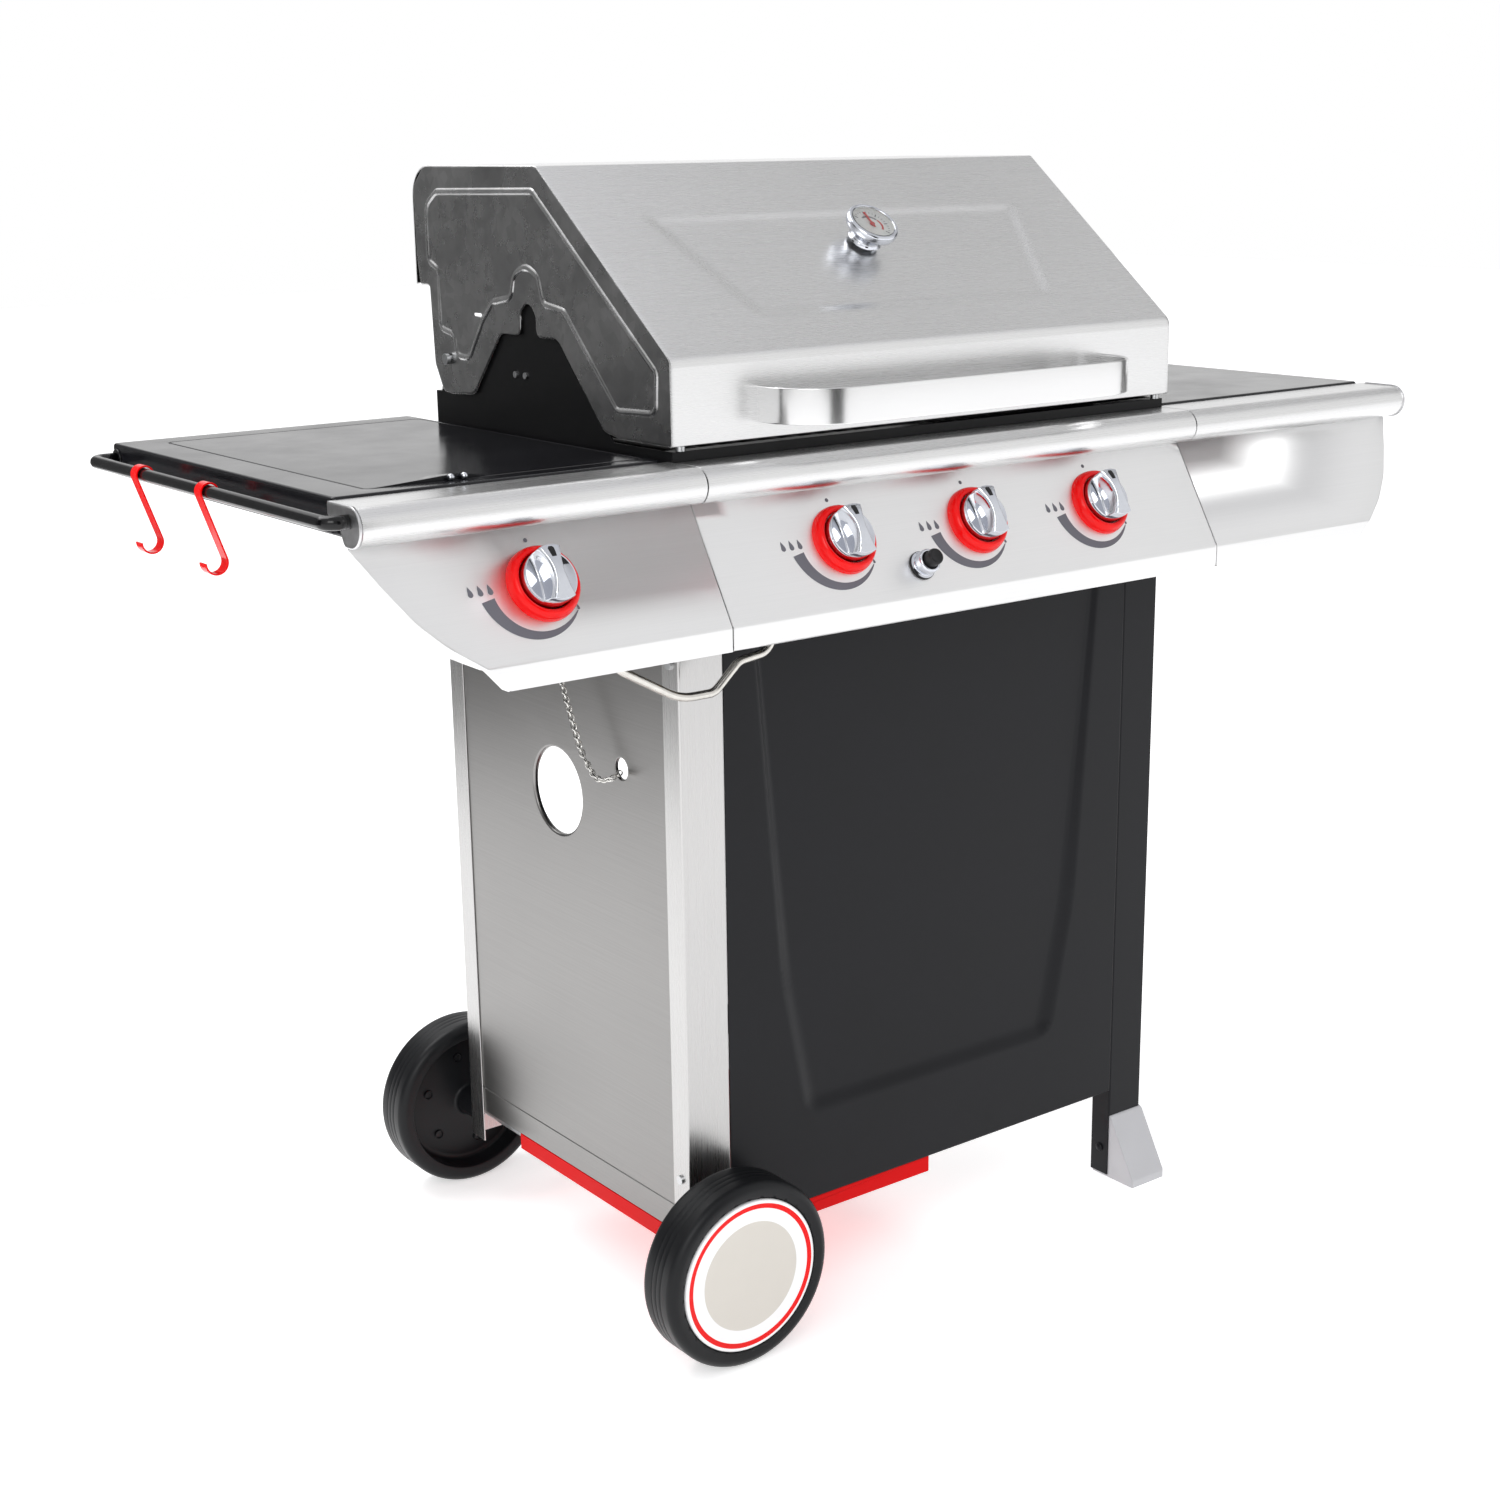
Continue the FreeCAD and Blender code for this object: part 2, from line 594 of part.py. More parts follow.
def valve_body():
    """Brass valve: barrel, saddle on the manifold and the jet towards the burner."""
    barrel = cyl((0, 0, -VALVE_START - VALVE_LEN), (0, 0, 1), VALVE_R, VALVE_LEN)
    bore_depth = PLUG_LEN + 2
    plug_end = PLUG_START + PLUG_LEN
    chamber = cyl((0, 0, -plug_end), (0, 0, 1), PLUG_R + RUN_FIT, bore_depth + 1)
    neck = cyl((0, 0, -plug_end), (0, 0, 1), STEM_R + RUN_FIT, plug_end + 1)
    return barrel, chamber, neck


def valve_plug():
    """Turning plug inside the valve; the stem slides in its slot."""
    return cyl((0, 0, GAP - PLUG_START - PLUG_LEN), (0, 0, 1), PLUG_R, PLUG_LEN - 2 * GAP)


def placed_valve(x):
    """The valve at one knob, with its saddle cut to the manifold."""
    barrel, chamber, neck = [at_knob(s, x) for s in valve_body()]
    mani = on_face(x, MANIFOLD_DOWN, -MANIFOLD_BEHIND)
    start = on_face(x, KNOB_DOWN + 4, -MANIFOLD_BEHIND)
    way = mani - start
    saddle = Part.makeBox(16, 14, way.Length, V(-8, -7, 0))
    saddle = stand(saddle, start, way)
    root = on_face(x, KNOB_DOWN, -VALVE_START - VALVE_LEN + 8)
    jet = cyl(tuple(root), (0, 1, 0), 4.5, FIREBOX_FRONT_Y - root.y + 3)
    pipe = cyl((x - 20, mani.y, mani.z), (1, 0, 0), MANIFOLD_R, 40)
    return cut(fuse(barrel, saddle, jet), chamber, neck, pipe)


def igniter_housing():
    """Threaded barrel behind the face with a polished collar in front."""
    collar = fuse(Part.makeCylinder(IGNITER_R, 3), Part.makeCylinder(IGNITER_R - 2, 12, V(0, 0, 3)))
    barrel = cyl((0, 0, -IGNITER_DEPTH), (0, 0, 1), BUTTON_R + 1.5, IGNITER_DEPTH + 1)
    bore = cyl((0, 0, 2 - IGNITER_DEPTH), (0, 0, 1), BUTTON_R + GAP, 60)
    return stand(cut(fuse(collar, barrel), bore), on_face(IGNITER_X, IGNITER_DOWN), OUT)


def igniter_button():
    start = 2 - IGNITER_DEPTH + BUTTON_TRAVEL + GAP
    body = cyl((0, 0, start), (0, 0, 1), BUTTON_R, BUTTON_TOP - start)
    return stand(body, on_face(IGNITER_X, IGNITER_DOWN), OUT)


# ---- gas pipes ---------------------------------------------------------------------------------------
def manifold():
    """Gas manifold with the screwed inlet at its right end."""
    at = on_face(0, MANIFOLD_DOWN, -MANIFOLD_BEHIND)
    pipe = cyl((MANIFOLD_LEFT, at.y, at.z), (1, 0, 0), MANIFOLD_R, MANIFOLD_RIGHT - MANIFOLD_LEFT)
    inlet = cyl((MANIFOLD_RIGHT - 1, at.y, at.z), (1, 0, 0), INLET_R, INLET_LEN + 1)
    collar = cyl((MANIFOLD_RIGHT, at.y, at.z), (1, 0, 0), MANIFOLD_R + 3, 6)
    return fuse(pipe, inlet, collar)


def side_burner_pipe():
    """Feed pipe from the manifold to the side burner's valve; it dips under the panels."""
    at = on_face(0, MANIFOLD_DOWN, -MANIFOLD_BEHIND)
    y, z = at.y, at.z
    x0 = MANIFOLD_LEFT
    valve_x = SIDE_KNOB_X
    points = [(x0, y, z), (x0 - 24, y, z), (x0 - 52, y, z - 54), (x0 - 84, y, z - 58),
              (x0 - 112, y, z - 83), (x0 - 150, y, z - 83), (x0 - 212, y, z - 48),
              (valve_x + 30, y, z), (valve_x, y, z)]
    return rod(points, 11, PIPE_R)


# ---- firebox -----------------------------------------------------------------------------------------
def firebox_side():
    """Left wall of the firebox with the ear behind the hood's cut-out and the hinge ear."""
    x0 = -HALF_W
    y1 = REAR_Y
    outline = [(FIREBOX_FRONT_Y, CABINET_TOP), (y1, CABINET_TOP), (y1, LEDGE_Z), (y1 - 11.5, LEDGE_Z),
               (y1 - 20, PIN_Z + 7), (PIN_Y + 6, PIN_Z + 12), (PIN_Y - 6, PIN_Z + 12),
               (PIN_Y - 16, PIN_Z + 5), (PIN_Y - 22, LEDGE_Z + 6), (PIN_Y - 42, LEDGE_Z + 6),
               (PIN_Y - 95, PIN_Z + EAR_UP), (PIN_Y - 137, PIN_Z + EAR_UP),
               (PIN_Y - 139, PIN_Z + EAR_UP + 32), (PIN_Y - 170, PIN_Z + EAR_UP + 32),
               (PIN_Y - 172, PIN_Z + EAR_UP), (PIN_Y - 210, PIN_Z + EAR_UP),
               (PIN_Y - 292, FIREBOX_TOP), (FIREBOX_FRONT_Y, FIREBOX_TOP)]
    wall = prism_x(outline, x0, x0 + SHEET)
    return cut(wall, cyl((x0 - 1, PIN_Y, PIN_Z), (1, 0, 0), PIN_R, 4))


def firebox_front():
    x = HALF_W - SHEET
    wall = box(-x, FIREBOX_FRONT_Y, CABINET_TOP, x, FIREBOX_FRONT_Y + SHEET, FIREBOX_TOP)
    edge = box(-x, FIREBOX_FRONT_Y, FIREBOX_TOP - SHEET, x, FIREBOX_FRONT_Y + 14, FIREBOX_TOP)
    wall = fuse(wall, edge)
    z = CABINET_TOP + BURNER_UP
    holes = [cyl((bx, FIREBOX_FRONT_Y - 1, z), (0, 1, 0), BURNER_R + 2, 4) for bx in KNOB_X[1:]]
    return cut(wall, *holes)


def firebox_rear():
    """Rear wall with a turned-in upper edge."""
    x = HALF_W - SHEET
    wall = box(-x, REAR_Y - SHEET, CABINET_TOP, x, REAR_Y, LEDGE_Z)
    edge = box(-x, REAR_Y - 10, LEDGE_Z - SHEET, x, REAR_Y, LEDGE_Z)
    return fuse(wall, edge)


def firebox_floor():
    """Floor sheet with the drip opening, and the two runners of the grease tray."""
    x = HALF_W - SHEET
    mid = (FRONT_Y + REAR_Y) / 2
    floor = box(-x, FIREBOX_FRONT_Y + SHEET, CABINET_TOP, x, REAR_Y - SHEET, CABINET_TOP + SHEET)
    drip = box(-DRIP_W / 2, mid - DRIP_D / 2, CABINET_TOP - 1, DRIP_W / 2, mid + DRIP_D / 2,
               CABINET_TOP + 2)
    x0 = GREASE_W / 2 + GAP
    low = CABINET_TOP - GREASE_DROP - 3 - GAP
    web = box(x0, mid - GREASE_D / 2, low, x0 + SHEET, mid + GREASE_D / 2, CABINET_TOP)
    ledge = box(x0 - 10, mid - GREASE_D / 2, low - SHEET, x0 + SHEET, mid + GREASE_D / 2, low)
    runner = fuse(web, ledge)
    return [cut(floor, drip)] + both_sides(runner)


def main_burners():
    """Three straight tube burners with a slotted crown."""
    z = CABINET_TOP + BURNER_UP
    y0 = FIREBOX_FRONT_Y - 5
    length = REAR_Y - 30 - y0
    out = []
    for x in KNOB_X[1:]:
        tube = cyl((x, y0, z), (0, 1, 0), BURNER_R, length)
        bore = cyl((x, y0 - 1, z), (0, 1, 0), BURNER_R - 1.2, length - 2)
        slots = [box(x - BURNER_R, y0 + 70 + 22 * i, z - 1, x + BURNER_R, y0 + 73 + 22 * i, z + 3)
                 for i in range(int((length - 90) / 22))]
        out.append(cut(tube, bore, *slots))
    return out


def flame_tamers():
    """Three roof-shaped covers over the burners."""
    z = CABINET_TOP + BURNER_UP + BURNER_R + 14
    y0 = FIREBOX_FRONT_Y + SHEET + 6
    y1 = REAR_Y - SHEET - 12
    out = []
    for x in KNOB_X[1:]:
        roof = [(x - 42, z), (x, z + 28), (x + 42, z), (x + 40.5, z), (x, z + 26.5), (x - 40.5, z)]
        out.append(prism_y(roof, y0, y1))
    return out


def cooking_grate():
    """Welded grid of round bars on two cross bars."""
    z = CABINET_TOP + GRATE_UP
    x1 = HALF_W - SHEET - 4
    y0 = FIREBOX_FRONT_Y + SHEET + 4
    y1 = REAR_Y - SHEET - 14
    step = 2 * (x1 - BAR_R) / (GRATE_BARS - 1)
    bars = [cyl((-x1 + BAR_R + step * i, y0, z), (0, 1, 0), BAR_R, y1 - y0) for i in range(GRATE_BARS)]
    for y in (y0 + 40, (y0 + y1) / 2, y1 - 40):
        bars.append(cyl((-x1, y, z - 4.5), (1, 0, 0), BAR_R, 2 * x1))
    return fuse(*bars)


def warming_rack():
    """Small upper rack that stands on the firebox sides."""
    z = DECK_Z + 72
    y0 = REAR_Y - 150
    y1 = REAR_Y - 60
    x1 = HALF_W - SHEET - 6
    bars = [cyl((-x1, y, z), (1, 0, 0), 2, 2 * x1) for y in (y0, y0 + 30, y0 + 60, y1)]
    foot_z = CABINET_TOP + GRATE_UP + BAR_R
    for x in (-x1 + 4, 0, x1 - 4):
        bars.append(cyl((x, y0, z - 3), (0, 1, 0), 2, y1 - y0))
    for x in (-x1 + 4, x1 - 4):
        for y in (y0 + 2, y1 - 2):
            bars.append(cyl((x, y, foot_z + 0.2), (0, 0, 1), 2, z - foot_z))
    return fuse(*bars)


def grease_tray():
    """Shallow tray under the firebox, pulled out to the rear."""
    mid = (FRONT_Y + REAR_Y) / 2
    x1 = GREASE_W / 2 - 12
    y0 = mid - GREASE_D / 2
    y1 = mid + GREASE_D / 2
    top = CABINET_TOP - GREASE_DROP
    pan = box(-x1, y0, top - GREASE_H, x1, y1, top)
    pan = cut(pan, box(-x1 + SHEET, y0 + SHEET, top - GREASE_H + SHEET, x1 - SHEET, y1 - SHEET, top + 1))
    rim = box(-GREASE_W / 2, y0, top - 3, GREASE_W / 2, y1, top - 3 + SHEET)
    rim = cut(rim, box(-x1, y0 - 1, top - 4, x1, y1 + 1, top))
    drain = cyl((0, mid, top - GREASE_H - 1), (0, 0, 1), 8, 4)
    pull = box(-50, y1, top - 14, 50, y1 + 22, top - 14 + SHEET)
    return cut(fuse(pan, rim, pull), drain)


def grease_cup():
    """Cup that hangs under the tray's drain on a wire bail."""
    mid = (FRONT_Y + REAR_Y) / 2
    top = CABINET_TOP - GREASE_DROP - GREASE_H
    cup = cyl((0, mid, top - CUP_H - 6), (0, 0, 1), CUP_R, CUP_H)
    cup = cut(cup, cyl((0, mid, top - CUP_H - 5), (0, 0, 1), CUP_R - 1, CUP_H + 1))
    strap = []
    for x in (-CUP_R, CUP_R - 1.5):
        strap.append(box(x, mid - 4, top - 20, x + 1.5, mid + 4, top))
    return fuse(cup, *strap)


# ---- side shelves -----------------------------------------------------------------------------------
def plain_shelf(x0, x1):
    """Folded sheet shelf: top and skirts all round."""
    y0 = RAIL_BACK + SEAM
    y1 = SHELF_REAR_Y
    outer = box(x0, y0, DECK_Z - SHELF_SKIRT, x1, y1, DECK_Z)
    t = FRAME_SHEET
    inner = box(x0 + t, y0 + t, DECK_Z - SHELF_SKIRT - 1, x1 - t, y1 - t, DECK_Z - t)
    outer = round_edges_along(outer, (0, 0, 1), 5, lambda e: e.Vertexes[0].Point.y > y1 - 1)
    return cut(outer, inner)


def shelf_left():
    """Left shelf with the recess of the burner lid and the well of the side burner."""
    shelf = plain_shelf(-SHELF_OUT_X, -SHELF_IN_X)
    t = FRAME_SHEET
    g = LID_GAP
    seat = DECK_Z - LID_T - GAP
    hole = box(LID_X0 - g, LID_Y0 - g, DECK_Z - t - 1, LID_X1 + g, LID_Y1 + g, DECK_Z + 1)
    a = 6.0
    ring = box(LID_X0 - a, LID_Y0 - a, seat - t, LID_X1 + min(a, 5.0), LID_Y1 + a, DECK_Z - t)
    ring = cut(ring, box(LID_X0 - g, LID_Y0 - g, seat, LID_X1 + g, LID_Y1 + g, DECK_Z))
    wx0, wx1 = LID_X0 + WELL_IN, LID_X1 - WELL_IN
    wy0, wy1 = LID_Y0 + WELL_IN, LID_Y1 - WELL_IN
    well = box(wx0, wy0, DECK_Z - WELL_DEPTH - t, wx1, wy1, seat)
    hollow = box(wx0 + t, wy0 + t, DECK_Z - WELL_DEPTH, wx1 - t, wy1 - t, DECK_Z + 1)
    x, y = side_burner_place()
    throat = cyl((x, y, DECK_Z - WELL_DEPTH - 5), (0, 0, 1), 14.5, 12)
    barrel_slot = box(LID_X0 - g, LID_Y1 - 2 * BARREL_R - g, DECK_Z - 2 * BARREL_R - g,
                      LID_X1 + g, LID_Y1 + g, DECK_Z)
    return cut(fuse(cut(shelf, hole), ring, well), hollow, throat, barrel_slot)


def side_burner_place():
    return (LID_X0 + LID_X1) / 2, (LID_Y0 + LID_Y1) / 2


def side_burner():
    """Round burner in the well, on its mixing tube from the valve."""
    x, y = side_burner_place()
    floor = DECK_Z - WELL_DEPTH
    base = cyl((x, y, floor + GAP), (0, 0, 1), SIDE_BURNER_R - 6, 12)
    head = cyl((x, y, floor + 12), (0, 0, 1), SIDE_BURNER_R, 10)
    neck = cyl((x, y, floor - 30), (0, 0, 1), 12, 34)
    ports = []
    for i in range(24):
        port = cyl((x, y, floor + 17), (1, 0, 0), 1.5, SIDE_BURNER_R + 2)
        ports.append(port.rotate(V(x, y, 0), V(0, 0, 1), 15 * i))
    hollow = cyl((x, y, floor + 14), (0, 0, 1), SIDE_BURNER_R - 4, 6)
    start = V(SIDE_KNOB_X, FIREBOX_FRONT_Y + 6, CABINET_TOP + BURNER_UP)
    end = V(x, y, floor - 22)
    tube = Part.makeCylinder(11, (end - start).Length, start, end - start)
    return cut(fuse(base, head, neck, tube), hollow, *ports)


def pan_support():
    """Square wire frame with four fingers over the side burner."""
    x, y = side_burner_place()
    z = DECK_Z - WELL_DEPTH + 40
    h = 82.0
    fingers = []
    for i in range(4):
        bar = box(14, -2, -4, h, 2, 2)
        leg = box(h - 4, -2, -38, h, 2, 2)
        one = fuse(bar, leg).rotate(V(0, 0, 0), V(0, 0, 1), 45 + 90 * i)
        fingers.append(one.translated(V(x, y, z - 2)))
    ring = cyl((x, y, z - 6), (0, 0, 1), h - 10, 4).cut(cyl((x, y, z - 7), (0, 0, 1), h - 14, 6))
    return fuse(ring, *fingers)


def side_burner_lid():
    """Flush lid over the side burner, with a pressed finger lift and a rolled rear edge."""
    front = box(LID_X0, LID_Y0, DECK_Z - LID_T, LID_X1, LID_Y1 - BARREL_R, DECK_Z)
    front = round_edges_along(front, (0, 0, 1), 6, lambda e: e.BoundBox.YMax < LID_Y0 + 1)
    barrel = cyl((LID_X0 + BARREL_END, LID_Y1 - BARREL_R, DECK_Z - BARREL_R), (1, 0, 0), BARREL_R,
                 LID_X1 - LID_X0 - 2 * BARREL_END)
    plate = fuse(front, barrel)
    x = (LID_X0 + LID_X1) / 2 - 42
    lift = cyl((x, LID_Y0 + 8, DECK_Z - LID_T), (0, 0, 1), 30, LID_T + 5)
    lift = cut(lift, cyl((x, LID_Y0 + 8, DECK_Z - LID_T - 1), (0, 0, 1), 28.5, LID_T + 4.8))
    lift = lift.common(box(x - 40, LID_Y0, DECK_Z - LID_T, x + 40, LID_Y0 + 50, DECK_Z + 10))
    opened = cyl((x, LID_Y0 + 8, DECK_Z - LID_T - 1), (0, 0, 1), 28.5, LID_T + 2)
    return fuse(cut(plate, opened), lift)


# ---- towel rail and hooks -------------------------------------------------------------------------------
TOWEL_X = -SPAN / 2 - BAR_OUT
TOWEL_Z = DECK_Z - TOWEL_DOWN
TOWEL_FRONT_Y = NOSE_Y + 4.0
TOWEL_REAR_Y = SHELF_REAR_Y - 12.0


def towel_rail():
    """Bent bar from the left end cap, along the shelf, into the shelf's side."""
    points = [(-SPAN / 2 + CAP_T, TOWEL_FRONT_Y, TOWEL_Z), (TOWEL_X, TOWEL_FRONT_Y, TOWEL_Z),
              (TOWEL_X, TOWEL_REAR_Y, TOWEL_Z), (-SHELF_OUT_X, TOWEL_REAR_Y, TOWEL_Z)]
    return rod(points, BAR_OUT, TOWEL_R)


def hook(along):
    """Flat S-hook: a loop over the towel rail, a slanting shank and a lower bend open outwards."""
    y = TOWEL_FRONT_Y + along * (TOWEL_REAR_Y - TOWEL_FRONT_Y)
    t = HOOK_T
    loop_r = TOWEL_R + GAP + t / 2
    bend_r = HOOK_BEND_R - t / 2
    bend_z = HOOK_BEND_R - HOOK_DROP
    reach = math.hypot(HOOK_SET, bend_z)
    lean = math.atan2(bend_z, HOOK_SET) + math.acos(-(loop_r + bend_r) / reach)
    side = V(math.cos(lean), 0, math.sin(lean))
    upper = side * -loop_r
    lower = V(HOOK_SET, 0, bend_z) + side * bend_r
    thick = side * (t / 2)
    corners = [upper - thick, upper + thick, lower + thick, lower - thick]
    shank = Part.Face(Part.makePolygon(corners + corners[:1]))
    turn = math.degrees(lean)
    over = Part.Face(Part.Wire(half_ring_edges(0, 0, loop_r - t / 2, loop_r + t / 2, -20, 180 + turn)))
    under = Part.Face(Part.Wire(half_ring_edges(HOOK_SET, bend_z, bend_r - t / 2, bend_r + t / 2,
                                                turn - 195, turn)))
    parts = [face.extrude(V(0, HOOK_W, 0)) for face in (over, shank, under)]
    return fuse(*parts).translated(V(TOWEL_X, y - HOOK_W / 2, TOWEL_Z))


def half_ring_edges(cx, cz, r0, r1, a0, a1):
    """Edges of a piece of a flat ring in the X-Z plane, between two angles in degrees."""
    def at(r, a):
        return V(cx + r * math.cos(math.radians(a)), 0, cz + r * math.sin(math.radians(a)))
    mid = (a0 + a1) / 2
    return [Part.Arc(at(r1, a0), at(r1, mid), at(r1, a1)).toShape(),
            Part.makeLine(at(r1, a1), at(r0, a1)),
            Part.Arc(at(r0, a1), at(r0, mid), at(r0, a0)).toShape(),
            Part.makeLine(at(r0, a0), at(r1, a0))]


# ---- hood ------------------------------------------------------------------------------------------------
CREASE_Z = HOOD_BOTTOM + HOOD_FRONT_H
SLOPE_LEN = math.hypot(HOOD_TOP_FRONT, HOOD_TOP - CREASE_Z)
SLOPE_UP = V(0, HOOD_TOP_FRONT / SLOPE_LEN, (HOOD_TOP - CREASE_Z) / SLOPE_LEN)
SLOPE_OUT = V(0, -SLOPE_UP.z, SLOPE_UP.y)


def on_slope(x, up, out=0.0):
    return V(x, 0, CREASE_Z) + SLOPE_UP * up + SLOPE_OUT * out


def hood_block(inset, x0, x1):
    """Solid of the hood's side outline, moved inwards by an inset."""
    i = inset
    slope = SLOPE_OUT * -i
    crease_shift = (i - slope.y) * SLOPE_UP.z / SLOPE_UP.y
    top_shift = (HOOD_TOP - i - (CREASE_Z + slope.z)) * SLOPE_UP.y / SLOPE_UP.z
    outline = [(i, HOOD_BOTTOM - (1 if i else 0)), (i, CREASE_Z + slope.z + crease_shift),
               (slope.y + top_shift, HOOD_TOP - i), (HOOD_REAR - i, HOOD_TOP - i),
               (HOOD_REAR - i, HOOD_BOTTOM - (1 if i else 0))]
    solid = prism_x(outline, x0, x1)
    return round_edges_along(solid, (1, 0, 0), HOOD_REAR_R - i,
                             lambda e: e.Vertexes[0].Point.y > HOOD_REAR - i - 1
                             and e.Vertexes[0].Point.z > CREASE_Z)


def slope_field(grow, depth0, depth1):
    """Pressed field on the slope, wider at its upper end."""
    low, high = 48 - grow, SLOPE_LEN - 70 + grow
    x_low = HOOD_HALF_W - 131 + grow
    x_high = HOOD_HALF_W - 77 + grow
    ring = [on_slope(x, up, -depth0) for x, up in
            ((-x_low, low), (x_low, low), (x_high, high), (-x_high, high))]
    face = Part.Face(Part.makePolygon(ring + ring[:1]))
    solid = face.extrude(SLOPE_OUT * -(depth1 - depth0))
    return solid


def hood_shell():
    """One folded sheet: front band, slope with its pressed field, top and rear."""
    x = HOOD_HALF_W - SHEET
    outer = hood_block(0, -x, x)
    inner = hood_block(SHEET, -x - 1, x + 1)
    rear_open = box(-x - 1, HOOD_REAR - 40, HOOD_BOTTOM - 2, x + 1, HOOD_REAR + 1, HOOD_REAR_BOTTOM)
    shell = cut(outer, inner, rear_open)
    shell = cut(fuse(shell, slope_field(SHEET, 0.2, EMBOSS_HOOD + SHEET)), slope_field(0, -1, EMBOSS_HOOD))
    hole = Part.makeCylinder(7, 20, on_slope(0, THERMO_UP, 5), SLOPE_OUT * -1)
    return cut(shell, hole)


def hood_side():
    """Left side plate of the hood: stepped rear edge, cut-out over the firebox ear, pin hole."""
    x0 = -HOOD_HALF_W
    t = SHEET
    plate = hood_block(0, x0, x0 + t)
    p, q = PIN_Y, PIN_Z
    rear = HOOD_REAR
    top_step = HOOD_REAR_BOTTOM
    rear_cut = prism_x([(rear + 5, top_step + 25), (rear - 2, top_step + 25), (rear - 6, top_step),
                        (rear - 24, top_step), (rear - 31, q - 2), (p + 18, LEDGE_Z + 6),
                        (p - 6, LEDGE_Z - 1), (p - 49, LEDGE_Z + 2), (p - 104, q + 31),
                        (p - 141, q + 31), (p - 141, q + 52), (p - 145, q + 60), (p - 155, q + 63),
                        (p - 165, q + 60), (p - 168, q + 52),
                        (p - 168, q + 31), (p - 201, q + 31), (p - 280, HOOD_BOTTOM + 3),
                        (p - 306, HOOD_BOTTOM), (p - 306, HOOD_BOTTOM - 5), (rear + 5, HOOD_BOTTOM - 5)],
                       x0 - 1, x0 + t + 1)
    pin = cyl((x0 - 1, p, q), (1, 0, 0), PIN_R + RUN_FIT, t + 2)
    slot = box(x0 - 1, p - 68, q + 45, x0 + t + 1, p - 52, q + 49)
    return cut(plate, rear_cut, pin, slot)


def hinge_pin():
    """Headed pin of the hood, fixed in the firebox wall; a shoulder keeps the plates apart."""
    inner = -HALF_W + SHEET + 3
    outer = -HOOD_HALF_W - 2
    pin = cyl((outer, PIN_Y, PIN_Z), (1, 0, 0), PIN_R, inner - outer)
    head = cyl((outer - 2, PIN_Y, PIN_Z), (1, 0, 0), PIN_HEAD_R, 2 - GAP + 2)
    shoulder = cyl((-HOOD_HALF_W + SHEET + GAP, PIN_Y, PIN_Z), (1, 0, 0), PIN_HEAD_R,
                   HOOD_HALF_W - SHEET - GAP - HALF_W)
    return fuse(pin, head, shoulder)


def hood_handle():
    """Flat bar handle, its ends curved back to the hood's front band."""
    z0 = HANDLE_Z - HANDLE_H / 2
    t = HANDLE_T

    def edge_line(shift):
        a = V(-HANDLE_HALF + shift, 0, z0)
        b = V(-HANDLE_HALF + shift, -14, z0)
        mid = V(-HANDLE_HALF + 17 + shift * 0.8, -HANDLE_OUT + 19 + shift * 0.6, z0)
        c = V(-HANDLE_FLAT, -HANDLE_OUT + shift, z0)
        return a, b, mid, c

    def side_edges(shift):
        a, b, mid, c = edge_line(shift)
        return [Part.makeLine(a, b), Part.Arc(b, mid, c).toShape()], a, c

    outer_left, a0, c0 = side_edges(0)
    inner_left, a1, c1 = side_edges(t)
    left = Part.Face(Part.Wire(outer_left + [Part.makeLine(c0, c1)] + inner_left[::-1]
                               + [Part.makeLine(a1, a0)])).extrude(V(0, 0, HANDLE_H))
    right = left.mirror(V(0, 0, 0), V(1, 0, 0))
    grip = box(-HANDLE_FLAT, -HANDLE_OUT, z0, HANDLE_FLAT, -HANDLE_OUT + t, z0 + HANDLE_H)
    return fuse(grip, left, right)


def hood_studs():
    """Two round studs under the hood's front corners."""
    x = HOOD_HALF_W - 14
    z0 = FIREBOX_TOP + GAP
    stud = cyl((x, SHEET + STUD_R, z0), (0, 0, 1), STUD_R, HOOD_BOTTOM + 9 - z0)
    return both_sides(stud)


def thermometer():
    """Case with its stem, glass, and needle, built along +Z about the dial's centre."""
    case = fuse(Part.makeCylinder(14, 8), Part.makeCone(14, THERMO_R, 8, V(0, 0, 8)),
                Part.makeCylinder(THERMO_R, THERMO_H - 16, V(0, 0, 16)))
    case = cut(case, cyl((0, 0, THERMO_H - 6), (0, 0, 1), DIAL_R, 7))
    case = fuse(case, cyl((0, 0, -50), (0, 0, 1), 3, 51), cyl((0, 0, -8), (0, 0, 1), 6.8, 9))
    glass = cyl((0, 0, THERMO_H - 2), (0, 0, 1), DIAL_R, 1.5)
    hub = cyl((0, 0, THERMO_H - 5.4), (0, 0, 1), 2.5, 1.6)
    hand = box(-1, -5, THERMO_H - 4.6, 1, 17, THERMO_H - 4.0)
    needle = fuse(hub, hand)
    return [stand(s, on_slope(0, THERMO_UP), SLOPE_OUT) for s in (case, glass, needle)]


